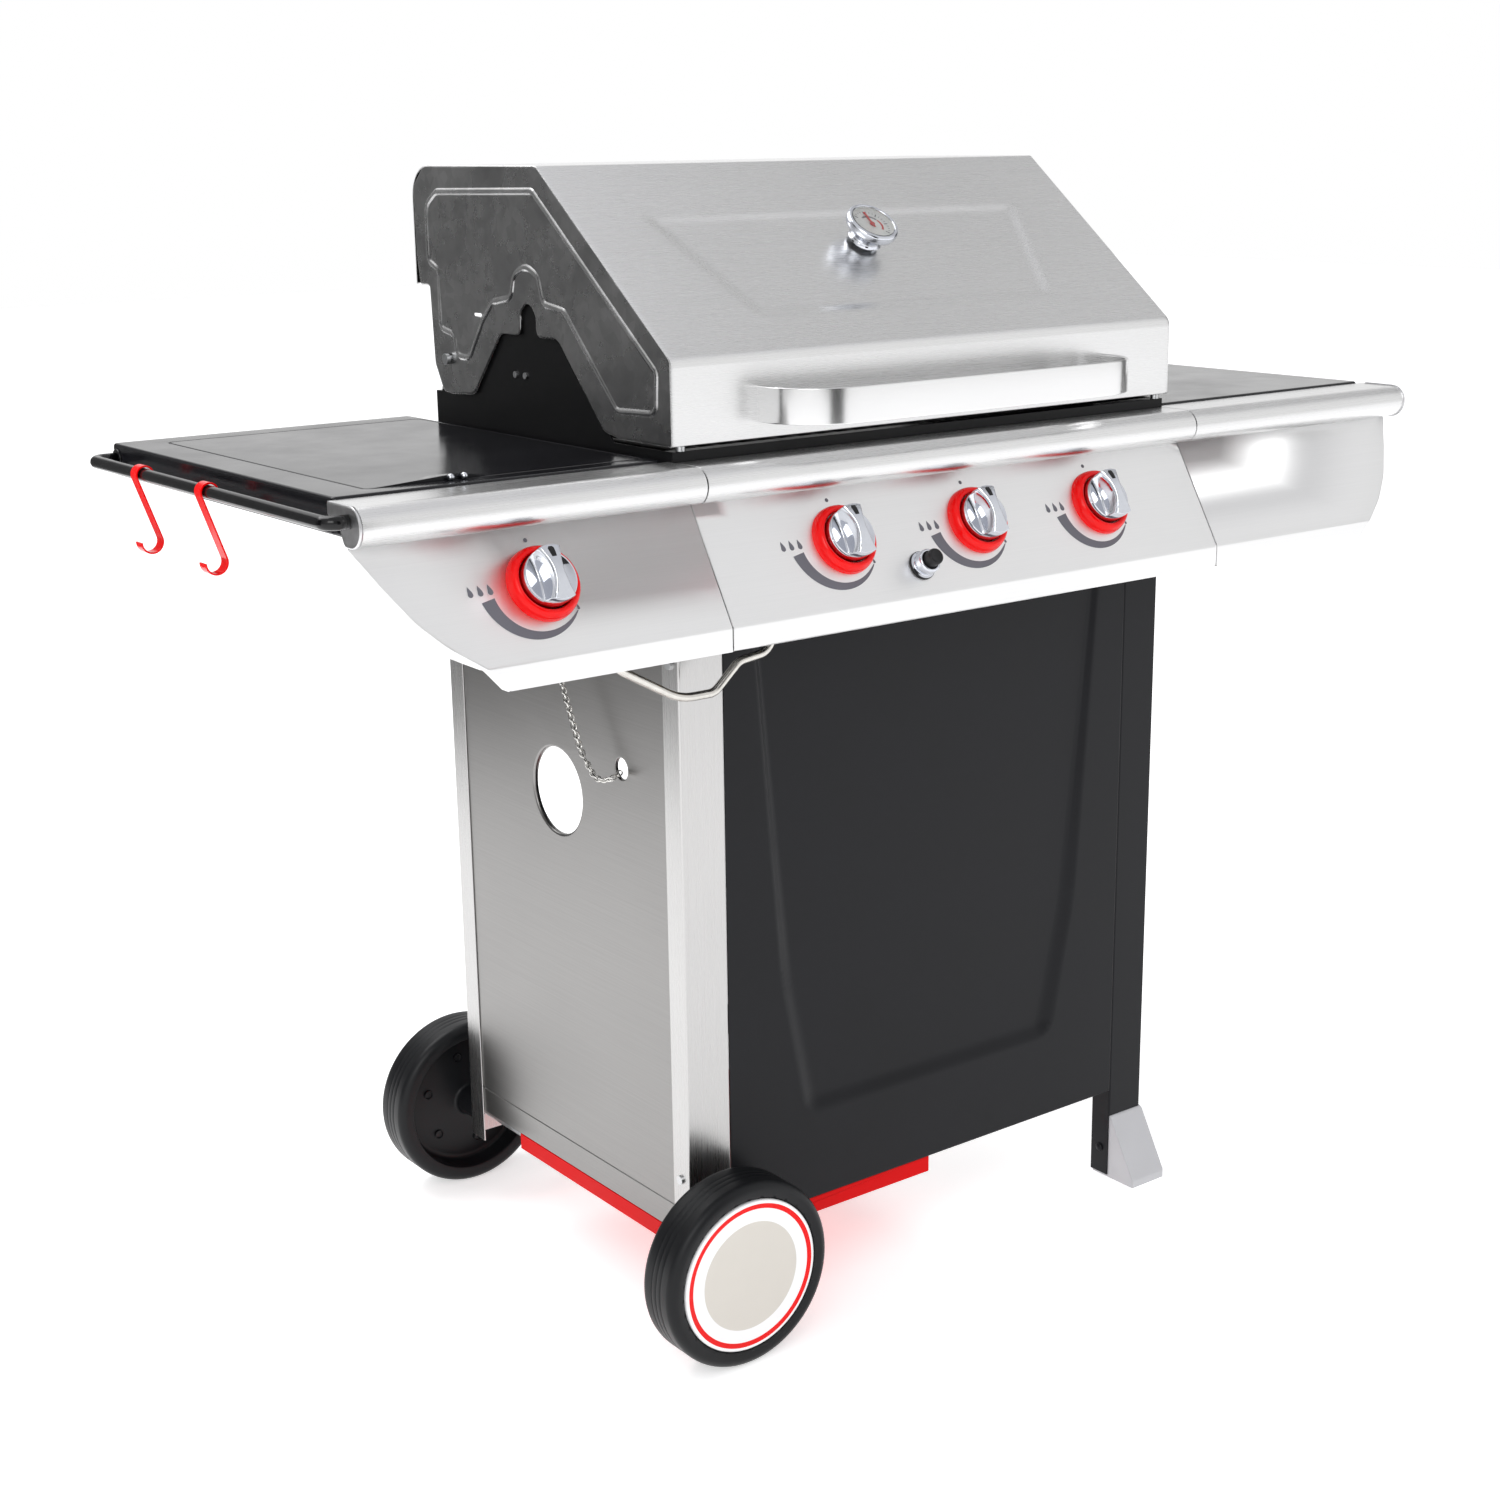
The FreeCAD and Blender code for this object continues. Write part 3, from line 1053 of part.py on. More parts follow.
# ---- assembly ------------------------------------------------------------------------------------------------
def build():
    nodes = {}
    left_panel = side_panel()
    nodes["side_panel_left"], nodes["side_panel_right"] = both_sides(left_panel)
    nodes["front_post_left"] = angle_post(True, POST_BOTTOM)
    leg = footed_leg()
    nodes["front_leg_right"] = leg
    nodes["rear_frame"] = [angle_post(False, POST_BOTTOM), flip_y(leg)] + rear_braces()
    nodes["front_panel"] = front_panel()
    nodes["bottle_tray"] = bottle_tray()
    nodes["feet"] = [foot(), flip_y(foot())]
    nodes["axle"] = axle()
    nodes["fasteners"] = fasteners()
    nodes["match_chain"] = match_chain()
    nodes["wheel_front"] = at_front_wheel(wheel())
    nodes["wheel_front_cap"] = at_front_wheel(wheel_cap())
    nodes["wheel_rear"] = at_rear_wheel(wheel())
    nodes["wheel_rear_cap"] = at_rear_wheel(wheel_cap())
    nodes["control_panel_center"] = control_panel_center()
    nodes["control_panel_left"] = control_panel_left()
    nodes["control_panel_right"] = control_wing()
    nodes["front_rails"] = front_rails()
    nodes["rail_end_caps"] = rail_end_caps()
    nodes["knob_bezels"] = [at_knob(knob_bezel(), x) for x in KNOB_X]
    nodes["valve_bodies"] = [placed_valve(x) for x in KNOB_X]
    for number, x in enumerate(KNOB_X):
        nodes["valve_plug_%d" % number] = at_knob(valve_plug(), x)
        nodes["knob_%d" % number] = [at_knob(s, x) for s in knob()]
    nodes["igniter_housing"] = igniter_housing()
    nodes["igniter_button"] = igniter_button()
    nodes["manifold"] = manifold()
    nodes["side_burner_pipe"] = side_burner_pipe()
    nodes["firebox_front"] = firebox_front()
    nodes["firebox_rear"] = firebox_rear()
    nodes["firebox_sides"] = both_sides(firebox_side())
    nodes["firebox_floor"] = firebox_floor()
    nodes["main_burners"] = main_burners()
    nodes["flame_tamers"] = flame_tamers()
    nodes["cooking_grate"] = cooking_grate()
    nodes["warming_rack"] = warming_rack()
    nodes["grease_tray"] = grease_tray()
    nodes["grease_cup"] = grease_cup()
    nodes["shelf_left"] = shelf_left()
    nodes["shelf_right"] = plain_shelf(SHELF_IN_X, SHELF_OUT_X)
    nodes["side_burner"] = side_burner()
    nodes["pan_support"] = pan_support()
    nodes["side_burner_lid"] = side_burner_lid()
    nodes["towel_rail"] = towel_rail()
    for number, along in enumerate(HOOK_PLACES):
        nodes["hook_%d" % (number + 1)] = hook(along)
    nodes["hood_shell"] = hood_shell()
    nodes["hood_sides"] = both_sides(hood_side())
    nodes["hood_handle"] = hood_handle()
    nodes["hood_studs"] = hood_studs()
    case, glass, needle = thermometer()
    nodes["thermometer_case"] = case
    nodes["thermometer_glass"] = glass
    nodes["thermometer_needle"] = needle
    nodes["hinge_pins"] = both_sides(hinge_pin())
    return {name: Part.makeCompound(s) if isinstance(s, list) else s for name, s in nodes.items()}


def origin_shift(nodes):
    """From the working datum to the floor under the middle of the whole grill."""
    boxes = [shape.BoundBox for shape in nodes.values()]
    x = (min(b.XMin for b in boxes) + max(b.XMax for b in boxes)) / 2
    y = (min(b.YMin for b in boxes) + max(b.YMax for b in boxes)) / 2
    return V(-x, -y, 0)


def main():
    nodes = build()
    shift = origin_shift(nodes)
    os.makedirs("parts", exist_ok=True)
    for name, shape in nodes.items():
        shape.translated(shift).exportStep("parts/%s.step" % name)
    print("nodes", len(nodes), "shift", [round(c, 3) for c in shift])
    return nodes, shift


NODES, SHIFT = main()
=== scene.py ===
"""Looks of the gas barbecue grill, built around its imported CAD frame.

Shapes are given in millimetres in the grill's own working datum: X = 0 in the middle of the hood,
Y = 0 at the hood's front face with +Y to the rear, Z = 0 on the floor. row() turns such a point
into the frame's metres.
"""

import math

import bpy
from mathutils import Matrix, Vector
from mathutils.geometry import delaunay_2d_cdt

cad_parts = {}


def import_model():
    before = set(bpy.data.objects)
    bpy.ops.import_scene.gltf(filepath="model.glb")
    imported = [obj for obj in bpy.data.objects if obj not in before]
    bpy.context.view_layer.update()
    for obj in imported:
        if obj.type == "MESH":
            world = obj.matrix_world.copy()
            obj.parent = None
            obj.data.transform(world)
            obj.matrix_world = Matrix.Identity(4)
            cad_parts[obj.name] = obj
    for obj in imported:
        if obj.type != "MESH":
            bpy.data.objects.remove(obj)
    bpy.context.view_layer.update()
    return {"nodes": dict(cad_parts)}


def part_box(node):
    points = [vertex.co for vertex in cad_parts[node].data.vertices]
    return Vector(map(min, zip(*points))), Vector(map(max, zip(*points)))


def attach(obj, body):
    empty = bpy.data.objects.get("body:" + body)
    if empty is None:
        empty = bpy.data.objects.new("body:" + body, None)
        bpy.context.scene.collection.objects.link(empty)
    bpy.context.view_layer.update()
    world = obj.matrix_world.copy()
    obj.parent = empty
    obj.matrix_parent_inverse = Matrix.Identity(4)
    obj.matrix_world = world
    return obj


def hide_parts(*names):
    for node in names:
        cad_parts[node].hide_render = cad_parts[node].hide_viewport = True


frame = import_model()

MM = 0.001
HOOD_LOW, HOOD_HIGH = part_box("hood_shell")
DATUM = Vector(((HOOD_LOW.x + HOOD_HIGH.x) / 2, HOOD_LOW.y, 0))


def row(point):
    return DATUM + Vector(point) * MM


def limits(node):
    """Lowest and highest corner of a CAD node in the working datum, in millimetres."""
    low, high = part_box(node)
    return (low - DATUM) / MM, (high - DATUM) / MM


# ---- materials ----
def add_node(tree, kind, **inputs):
    """A new shader node with some of its inputs set."""
    node = tree.nodes.new("ShaderNode" + kind)
    for key, value in inputs.items():
        node.inputs[key.replace("_", " ")].default_value = value
    return node


class Nodes:
    """A material's node tree with short calls for the nodes that every finish here needs."""

    def __init__(self, name, **values):
        self.material = bpy.data.materials.new(name)
        self.material.use_nodes = True
        self.tree = self.material.node_tree
        self.shader = self.tree.nodes["Principled BSDF"]
        self.place = add_node(self.tree, "TexCoord").outputs["Object"]
        for key, value in values.items():
            self.shader.inputs[key.replace("_", " ")].default_value = value

    def link(self, source, target):
        self.tree.links.new(source, target)

    def noise(self, scale, stretch=(1, 1, 1), detail=4.0, roughness=0.6):
        mapping = add_node(self.tree, "Mapping", Scale=stretch)
        self.link(self.place, mapping.inputs["Vector"])
        node = add_node(self.tree, "TexNoise", Scale=scale, Detail=detail, Roughness=roughness)
        self.link(mapping.outputs["Vector"], node.inputs["Vector"])
        return node.outputs["Fac"]

    def cells(self, scale):
        node = add_node(self.tree, "TexVoronoi", Scale=scale)
        self.link(self.place, node.inputs["Vector"])
        return node.outputs["Color"]

    def ramp(self, source, low, high, start=0.35, end=0.65):
        node = add_node(self.tree, "ValToRGB")
        first, last = node.color_ramp.elements
        first.position, last.position = start, end
        first.color, last.color = tuple(low) + (1,), tuple(high) + (1,)
        self.link(source, node.inputs["Fac"])
        return node.outputs["Color"]

    def span(self, source, low, high):
        node = add_node(self.tree, "MapRange", From_Min=0.3, From_Max=0.7, To_Min=low, To_Max=high)
        self.link(source, node.inputs["Value"])
        return node.outputs["Result"]

    def multiply(self, first, second, share):
        node = add_node(self.tree, "MixRGB", Fac=share)
        node.blend_type = "MULTIPLY"
        self.link(first, node.inputs["Color1"])
        self.link(second, node.inputs["Color2"])
        return node.outputs["Color"]

    def bump(self, source, height_mm, strength):
        node = add_node(self.tree, "Bump", Strength=strength, Distance=height_mm * MM)
        self.link(source, node.inputs["Height"])
        self.link(node.outputs["Normal"], self.shader.inputs["Normal"])

    def paint(self, colour, rough):
        self.link(colour, self.shader.inputs["Base Color"])
        self.link(rough, self.shader.inputs["Roughness"])


def grey(value, warm=0.0):
    return (value * (1 + warm), value, value * (1 - warm))


def brushed(name, stretch, light, spread, rough, warm=0.0):
    """Ground stainless sheet. The grain runs along the axis with the small stretch value."""
    n = Nodes(name, Metallic=1.0)
    grain = n.noise(22.0, stretch, detail=5.0, roughness=0.75)
    cloud = n.noise(3.5, detail=2.0)
    shine = n.ramp(grain, grey(light - spread, warm), grey(light + spread, warm), 0.3, 0.7)
    n.paint(n.multiply(shine, n.ramp(cloud, grey(0.97), grey(1.0)), 1.0),
            n.span(grain, rough - 0.015, rough + 0.03))
    n.bump(n.noise(60.0, stretch, detail=3.0), 0.004, 0.25)
    return n.material


def galvanised(name, dark, light, rough):
    """Zinc-plated sheet with its crystals and a cloudy tarnish."""
    n = Nodes(name, Metallic=1.0)
    crystal = n.cells(90.0)
    cloud = n.noise(14.0, detail=5.0)
    tarnish = n.ramp(cloud, grey(dark), grey(light), 0.3, 0.7)
    n.paint(n.multiply(tarnish, n.ramp(crystal, grey(0.78), grey(1.0), 0.1, 0.9), 0.85),
            n.span(cloud, rough - 0.06, rough + 0.08))
    n.bump(n.noise(300.0), 0.01, 0.4)
    return n.material


def plain_metal(name, colour, rough, wear=0.06, height=0.01):
    """Turned, drawn or plated metal with slight blotches and fine marks."""
    n = Nodes(name, Metallic=1.0)
    blotch = n.noise(120.0, detail=4.0)
    low = tuple(c * (1 - wear * 2) for c in colour)
    n.paint(n.ramp(blotch, low, colour), n.span(blotch, rough, rough + wear))
    n.bump(n.noise(720.0), height, 0.4)
    return n.material


def coated(name, colour, rough, texture_mm, scale, coat=0.0, lift=0.35, specular=0.5):
    """Paint, powder coat, enamel or moulded plastic with its fine surface texture."""
    n = Nodes(name, Metallic=0.0, Coat_Weight=coat, Coat_Roughness=0.05, Specular_IOR_Level=specular)
    cloud = n.noise(11.0, detail=3.0)
    high = tuple(min(1.0, c * (1 + lift)) for c in colour)
    n.paint(n.ramp(cloud, colour, high, 0.3, 0.7), n.span(cloud, rough - 0.03, rough + 0.05))
    n.bump(n.noise(scale, detail=2.0), texture_mm, 0.5)
    return n.material


def clear_glass(name):
    n = Nodes(name, Metallic=0.0, Transmission_Weight=1.0, IOR=1.45)
    smear = n.noise(60.0)
    n.paint(n.ramp(smear, (0.94, 0.96, 0.96), (1, 1, 1)), n.span(smear, 0.01, 0.05))
    return n.material


ALONG_X = (0.35, 60, 60)
ALONG_Y = (60, 0.35, 60)
ALONG_Z = (60, 60, 0.35)
FINISH = {
    "stainless": brushed("stainless_brushed", ALONG_X, 0.74, 0.02, 0.27),
    "panel_steel": brushed("panel_brushed", ALONG_X, 0.84, 0.02, 0.42),
    # Side panels: the same stainless with a much darker base colour, painted shade for the sides that face away
    # from the light.
    "stainless_dark": brushed("side_panel_painted_shade", ALONG_Y, 0.28, 0.02, 0.30, warm=0.02),
    "stainless_post": brushed("post_brushed", ALONG_Z, 0.52, 0.03, 0.27, warm=0.01),
    "handle_steel": brushed("handle_brushed", ALONG_X, 0.78, 0.02, 0.20),
    # Inner faces of the hood shell and hood sides: near-black stainless, painted shade for the inside under the
    # hood.
    "hood_inside": brushed("hood_underside_painted_shade", ALONG_X, 0.035, 0.012, 0.45),
    "zinc_plate": galvanised("hood_side_zinc", 0.36, 0.54, 0.27),
    # Ridge crest on the hood sides: a lighter zinc, painted highlight where the bend catches the light.
    "zinc_bright": galvanised("hood_side_crest_painted_highlight", 0.62, 0.80, 0.24),
    "zinc": plain_metal("zinc_hardware", (0.62, 0.63, 0.64), 0.28),
    "chain_steel": plain_metal("chain_nickel", (0.84, 0.83, 0.80), 0.24),
    "pipe_steel": plain_metal("pipe_steel", (0.70, 0.68, 0.64), 0.22),
    "burner_steel": plain_metal("burner_steel", (0.52, 0.50, 0.47), 0.36, 0.1, 0.02),
    "burner_metal": plain_metal("burner_cast", (0.33, 0.32, 0.31), 0.45, 0.1, 0.05),
    "cap_metal": plain_metal("end_cap_metal", (0.72, 0.72, 0.73), 0.30),
    "chrome": plain_metal("chrome", (0.64, 0.66, 0.71), 0.06, 0.02, 0.002),
    "brass": plain_metal("brass", (0.72, 0.52, 0.24), 0.26, 0.08),
    "black_steel": coated("black_powder_coat", (0.0048, 0.005, 0.0066), 0.38, 0.02, 1500.0, specular=0.2),
    "black_enamel": coated("black_enamel", (0.004, 0.004, 0.0045), 0.34, 0.03, 900.0, specular=0.2),
    "black_gloss": coated("black_gloss_paint", (0.003, 0.003, 0.0035), 0.16, 0.01, 700.0, coat=0.1,
                          specular=0.3),
    "shelf_paint": coated("shelf_satin_paint", (0.006, 0.006, 0.0075), 0.17, 0.012, 1300.0, specular=0.28),
    "red_paint": coated("red_tray_paint", (0.60, 0.0, 0.001), 0.45, 0.012, 900.0, lift=0.1, specular=0.1),
    "red_gloss": coated("red_gloss_paint", (0.76, 0.0, 0.0005), 0.16, 0.006, 500.0, coat=0.15, lift=0.1,
                        specular=0.18),
    "black_plastic": coated("black_plastic", (0.006, 0.006, 0.007), 0.42, 0.05, 1100.0, specular=0.3),
    "grey_plastic": coated("grey_plastic", (0.50, 0.50, 0.52), 0.48, 0.05, 1100.0, lift=0.08),
    "black_rubber": coated("wheel_plastic", (0.006, 0.0064, 0.0075), 0.38, 0.05, 900.0, specular=0.24),
    "wheel_disc": coated("disc_beige", (0.60, 0.57, 0.52), 0.34, 0.01, 900.0, coat=0.4, lift=0.05),
    "disc_white": coated("disc_white", (0.86, 0.86, 0.87), 0.30, 0.01, 900.0, coat=0.4, lift=0.03),
    "cast_iron": coated("cast_iron_grate", (0.016, 0.015, 0.015), 0.55, 0.15, 500.0),
    "mark_ink": coated("printed_grey", (0.12, 0.12, 0.14), 0.45, 0.005, 900.0, lift=0.12, specular=0.25),
    "dial_white": coated("dial_white", (0.80, 0.80, 0.78), 0.35, 0.004, 900.0, lift=0.04),
    "glass": clear_glass("dial_glass"),
}


# ---- mesh building ----
def ring_xy(radius, steps):
    """Points of a full circle about the origin."""
    angles = [2 * math.pi * i / steps for i in range(steps)]
    return [(radius * math.cos(a), radius * math.sin(a)) for a in angles]


def arc(cx, cy, radius, start, end, steps):
    """Points of an arc between two angles in degrees."""
    angles = [math.radians(start + (end - start) * k / steps) for k in range(steps + 1)]
    return [(cx + radius * math.cos(a), cy + radius * math.sin(a)) for a in angles]


class Shape:
    """Vertices in millimetres and faces with a material number."""

    def __init__(self):
        self.points = []
        self.faces = []
        self.kinds = []

    def add(self, points, faces, kind=0):
        start = len(self.points)
        self.points += [Vector(p) for p in points]
        self.faces += [[start + i for i in face] for face in faces]
        self.kinds += [kind] * len(faces)
        return self

    def grid(self, rows, around=False, kind=0, flip=False):
        """Quads between rows of points; around=True closes each row on itself."""
        wide = len(rows[0])
        faces = []
        for j in range(len(rows) - 1):
            for i in range(wide if around else wide - 1):
                k = (i + 1) % wide
                face = [j * wide + i, j * wide + k, (j + 1) * wide + k, (j + 1) * wide + i]
                faces.append(face[::-1] if flip else face)
        return self.add([p for r in rows for p in r], faces, kind)

    def fan(self, ring, tip, kind=0):
        steps = len(ring)
        return self.add(ring + [tip], [[i, (i + 1) % steps, steps] for i in range(steps)], kind)

    def cap(self, ring, kind=0):
        return self.add(ring, [list(range(len(ring)))], kind)

    def lathe(self, profile, place=None, steps=64, kinds=None, flip=False):
        """Turns (radius, height) points about +Z, then moves them by a matrix in millimetres."""
        place = place or Matrix.Identity(4)
        first_face = len(self.faces)
        rows = []
        for radius, height in profile:
            rows.append([place @ Vector((x, y, height)) for x, y in ring_xy(radius, steps)])
        for j in range(len(rows) - 1):
            kind = kinds[j] if kinds else 0
            if profile[j][0] < 1e-6:
                fan = [[0, (i + 1) % steps + 1, i + 1] for i in range(steps)]
                self.add([rows[j][0]] + rows[j + 1], fan, kind)
            elif profile[j + 1][0] < 1e-6:
                self.fan(rows[j], rows[j + 1][0], kind)
            else:
                self.grid(rows[j:j + 2], around=True, kind=kind)
        if flip:
            self.faces[first_face:] = [face[::-1] for face in self.faces[first_face:]]
        return self

    def tube(self, path, radius, sides=14, kind=0, closed=False):
        """A round bar along a path, with flat ends unless it is closed."""
        path = [Vector(p) for p in path]
        count = len(path)
        side = None
        rings = []
        for i, point in enumerate(path):
            before = path[i - 1] if i or closed else point
            after = path[(i + 1) % count] if i < count - 1 or closed else point
            way = (after - before).normalized()
            if side is None:
                side = way.orthogonal().normalized()
            side = (side - way * side.dot(way)).normalized()
            up = way.cross(side)
            rings.append([point + side * across + up * along for across, along in ring_xy(radius, sides)])
        if closed:
            return self.grid(rings + rings[:1], around=True, kind=kind)
        self.grid(rings, around=True, kind=kind)
        return self.cap(rings[0][::-1], kind).cap(rings[-1], kind)

    def loft(self, rings, kind=0, low=True):
        """Solid through rings of points, with an end face and, if low, a start face."""
        self.grid(rings, around=True, kind=kind)
        if low:
            self.cap(rings[0][::-1], kind)
        return self.cap(rings[-1], kind)

    def mirrored(self):
        """The shape and its mirror image in the hood's middle plane."""
        points = [Vector((-p.x, p.y, p.z)) for p in self.points]
        start = len(self.points)
        self.faces += [[start + i for i in reversed(face)] for face in self.faces]
        self.kinds += self.kinds
        self.points += points
        return self


def add_object(name, data):
    piece = bpy.data.objects.new(name, data)
    bpy.context.scene.collection.objects.link(piece)
    return piece


def make(name, shape, finishes, body, replaces=None, slot=None, thick=0.0, bevel=0.0, angle=32, inner=0):
    """Turns a shape into a piece that rides on a body and stands for a CAD node.

    finishes is one name or several, with a space between them. slot is not used.
    """
    mesh = bpy.data.meshes.new(name)
    mesh.from_pydata([row(p) for p in shape.points], [], shape.faces)
    mesh.validate()
    finishes = finishes.split()
    for key in finishes:
        mesh.materials.append(FINISH[key])
    mesh.polygons.foreach_set("material_index", shape.kinds[:len(mesh.polygons)])
    piece = add_object(name, mesh)
    finish_mesh(piece, thick, bevel, angle, inner)
    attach(piece, body)
    if replaces:
        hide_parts(replaces)
        slot or finishes[0]


def finish_mesh(piece, thick, bevel, angle=32, inner=0):
    """Welds, thickens behind the faces, rounds edges and shades smoothly up to an angle."""
    mesh = piece.data
    mesh.shade_smooth()
    piece.modifiers.new("weld", "WELD").merge_threshold = 0.00002
    if thick:
        sheet = piece.modifiers.new("sheet", "SOLIDIFY")
        sheet.thickness = thick * MM
        sheet.offset = -1.0
        sheet.use_even_offset = True
        sheet.material_offset = inner
    if bevel:
        edge = piece.modifiers.new("edges", "BEVEL")
        edge.width = bevel * MM
        edge.segments = 2
        edge.limit_method = "ANGLE"
        edge.angle_limit = math.radians(angle)
    mesh.set_sharp_from_angle(angle=math.radians(angle))
    normals = piece.modifiers.new("normals", "WEIGHTED_NORMAL")
    normals.keep_sharp = True
    normals.weight = 80


def dress(node, finish, bevel, second=None, chosen=None):
    """Keeps a CAD node and gives it softened edges and a finish, or a second one on chosen faces."""
    piece = frame["nodes"][node]
    mesh = piece.data
    if "custom_normal" in mesh.attributes:
        mesh.attributes.remove(mesh.attributes["custom_normal"])
    mesh.materials.clear()
    mesh.materials.append(FINISH[finish])
    if second:
        mesh.materials.append(FINISH[second])
    for polygon in mesh.polygons:
        corners = [(mesh.vertices[i].co - DATUM) / MM for i in polygon.vertices]
        polygon.material_index = 1 if second and chosen(corners) else 0
    finish_mesh(piece, 0, bevel)


def soften(points, radius, steps=6, closed=False):
    """A polyline whose corners are turned into arcs of one radius, or of one radius each."""
    pts = [Vector(p) for p in points]
    out = []
    for i, corner in enumerate(pts):
        r = radius[i] if isinstance(radius, (list, tuple)) else radius
        if r <= 0 or (not closed and i in (0, len(pts) - 1)):
            out.append(corner)
            continue
        a = pts[i - 1] - corner
        b = pts[(i + 1) % len(pts)] - corner
        half = a.angle(b) / 2
        if half > math.pi / 2 - 0.01:
            out.append(corner)
            continue
        back = min(r / math.tan(half), 0.48 * min(a.length, b.length))
        r = back * math.tan(half)
        centre = corner + (a.normalized() + b.normalized()).normalized() * (r / math.sin(half))
        s = corner + a.normalized() * back - centre
        e = corner + b.normalized() * back - centre
        turn = s.angle(e)
        for k in range(steps + 1):
            t = k / steps
            out.append(centre + (s * math.sin((1 - t) * turn) + e * math.sin(t * turn)) / math.sin(turn))
    return out


def offset_loop(loop, distance):
    """A closed 2-D loop moved outwards (counter-clockwise loops) by a distance."""
    out = []
    for i, point in enumerate(loop):
        a, b = loop[i - 1], loop[(i + 1) % len(loop)]
        way = (b - a).normalized()
        out.append(point + Vector((way.y, -way.x)) * distance)
    return out


def area_of(loop):
    return sum(a.x * b.y - b.x * a.y for a, b in zip(loop, loop[1:] + loop[:1])) / 2


def counter_clockwise(loop):
    return loop if area_of(loop) > 0 else loop[::-1]


def inside(point, loop):
    found = False
    for a, b in zip(loop, loop[1:] + loop[:1]):
        if (a.y > point.y) != (b.y > point.y):
            if point.x < (b.x - a.x) * (point.y - a.y) / (b.y - a.y) + a.x:
                found = not found
    return found


def circle(cx, cy, radius, steps=48):
    return [Vector((cx + x, cy + y)) for x, y in ring_xy(radius, steps)]


def rectangle(x0, y0, x1, y1, radius=0.0, steps=5):
    corners = [(x0, y0), (x1, y0), (x1, y1), (x0, y1)]
    return soften(corners, radius, steps, closed=True) if radius else [Vector(c) for c in corners]


def plate(outline, holes, creases, lift, shape=None, flip=False):
    """A sheet cut to an outline. creases are (loop, height) closed lines; lift places (x, y, height)."""
    loops = [(counter_clockwise(outline), 0.0)] + [(h, 0.0) for h in holes] + creases
    points, edges, heights = [], [], []
    for loop, height in loops:
        start = len(points)
        points += loop
        heights += [height] * len(loop)
        edges += [(start + i, start + (i + 1) % len(loop)) for i in range(len(loop))]
    flat = [Vector(p[:2]) for p in points]
    verts, _, faces, origin, _, _ = delaunay_2d_cdt(flat, edges, [], 0, 1e-5)
    kept = []
    for face in faces:
        middle = sum((verts[i] for i in face), Vector((0, 0))) / len(face)
        if inside(middle, loops[0][0]) and not any(inside(middle, h) for h in holes):
            kept.append(list(face)[::-1] if flip else list(face))
    placed = [lift(v.x, v.y, heights[o[0]] if o else 0.0) for v, o in zip(verts, origin)]
    return (shape or Shape()).add(placed, kept)


def bead(loop, half_width, height):
    """Crease lines of a pressed ridge along a closed loop."""
    loop = counter_clockwise(loop)
    steps = ((-1.0, 0.0), (-0.62, 0.55), (-0.25, 0.95), (0.25, 0.95), (0.62, 0.55), (1.0, 0.0))
    return [(offset_loop(loop, half_width * across), height * up) for across, up in steps]


def pressed(loop, wall, depth):
    """Crease lines of a field pressed in inside a closed loop."""
    loop = counter_clockwise(loop)
    steps = ((0.0, 0.0), (0.2, 0.1), (0.4, 0.38), (0.6, 0.7), (0.8, 0.92), (1.0, 1.0))
    return [(offset_loop(loop, -wall * across), depth * down) for across, down in steps]


def strip(profile, start, end, axis, flip=False, pieces=1):
    """A folded sheet: a profile in the plane across the X or Z axis, drawn out along it."""
    stations = [start + (end - start) * i / pieces for i in range(pieces + 1)]
    rows = [[(a, p[0], p[1]) if axis == "x" else (p[0], p[1], a) for p in profile] for a in stations]
    return Shape().grid(rows, flip=flip)


def turned_to(place, direction):
    """A matrix that stands a shape built along +Z on a place, facing a direction."""
    turn = Vector((0, 0, 1)).rotation_difference(Vector(direction).normalized())
    return Matrix.Translation(Vector(place)) @ turn.to_matrix().to_4x4()


# ---- measures of the grill, in millimetres ----
SHEET = 1.2
THICK_SHEET = 1.4
THIN_SHEET = 1.0
CABINET_LOW, CABINET_HIGH = limits("side_panel_left")
BODY_LOW = limits("front_post_left")[0]
HALF_W = -BODY_LOW.x
FRONT_Y = BODY_LOW.y
REAR_Y = limits("rear_frame")[1].y
CABINET_TOP = CABINET_HIGH.z
CABINET_BOTTOM = CABINET_LOW.z
SHELF_LOW, SHELF_HIGH = limits("shelf_right")
DECK_Z = SHELF_HIGH.z
POST_W = 50.0
POST_SIDE = 26.0
NOSE_R = 16.5
NOSE_Y = -30.8
RAIL_TOP = DECK_Z - 2.0
RAIL_BACK = 12.0
RAIL_END = limits("rail_end_caps")[1].x
SEAM_X = 311.0
SEAM_LEFT = SEAM_X - 0.7
SEAM_RIGHT = SEAM_X + 0.9
CAP_SEAT = 3.0
FLANGE = 9.0
FACE_TOP_Y = -19.2
FACE_TOP_Z = RAIL_TOP - 2 * NOSE_R
FACE_LEN = 120.4
TILT = math.radians(30.6)
LIP_H = 21.0
BEND_R = 4.0
DOWN = Vector((0, -math.sin(TILT), -math.cos(TILT)))
OUT = Vector((0, -math.cos(TILT), math.sin(TILT)))
KNOB_X = (-484.0, -160.0, 5.0, 170.0)
KNOB_DOWN = 55.0
HOOD_BOTTOM = limits("hood_shell")[0].z
HOOD_TOP = limits("hood_shell")[1].z
HOOD_REAR = limits("hood_shell")[1].y
HOOD_HALF_W = limits("hood_sides")[1].x
CREASE_Z = HOOD_BOTTOM + 76.0
TOP_FRONT_Y = 211.4
HOOD_REAR_BOTTOM = HOOD_TOP - 117.0
HOOD_REAR_R = 32.0


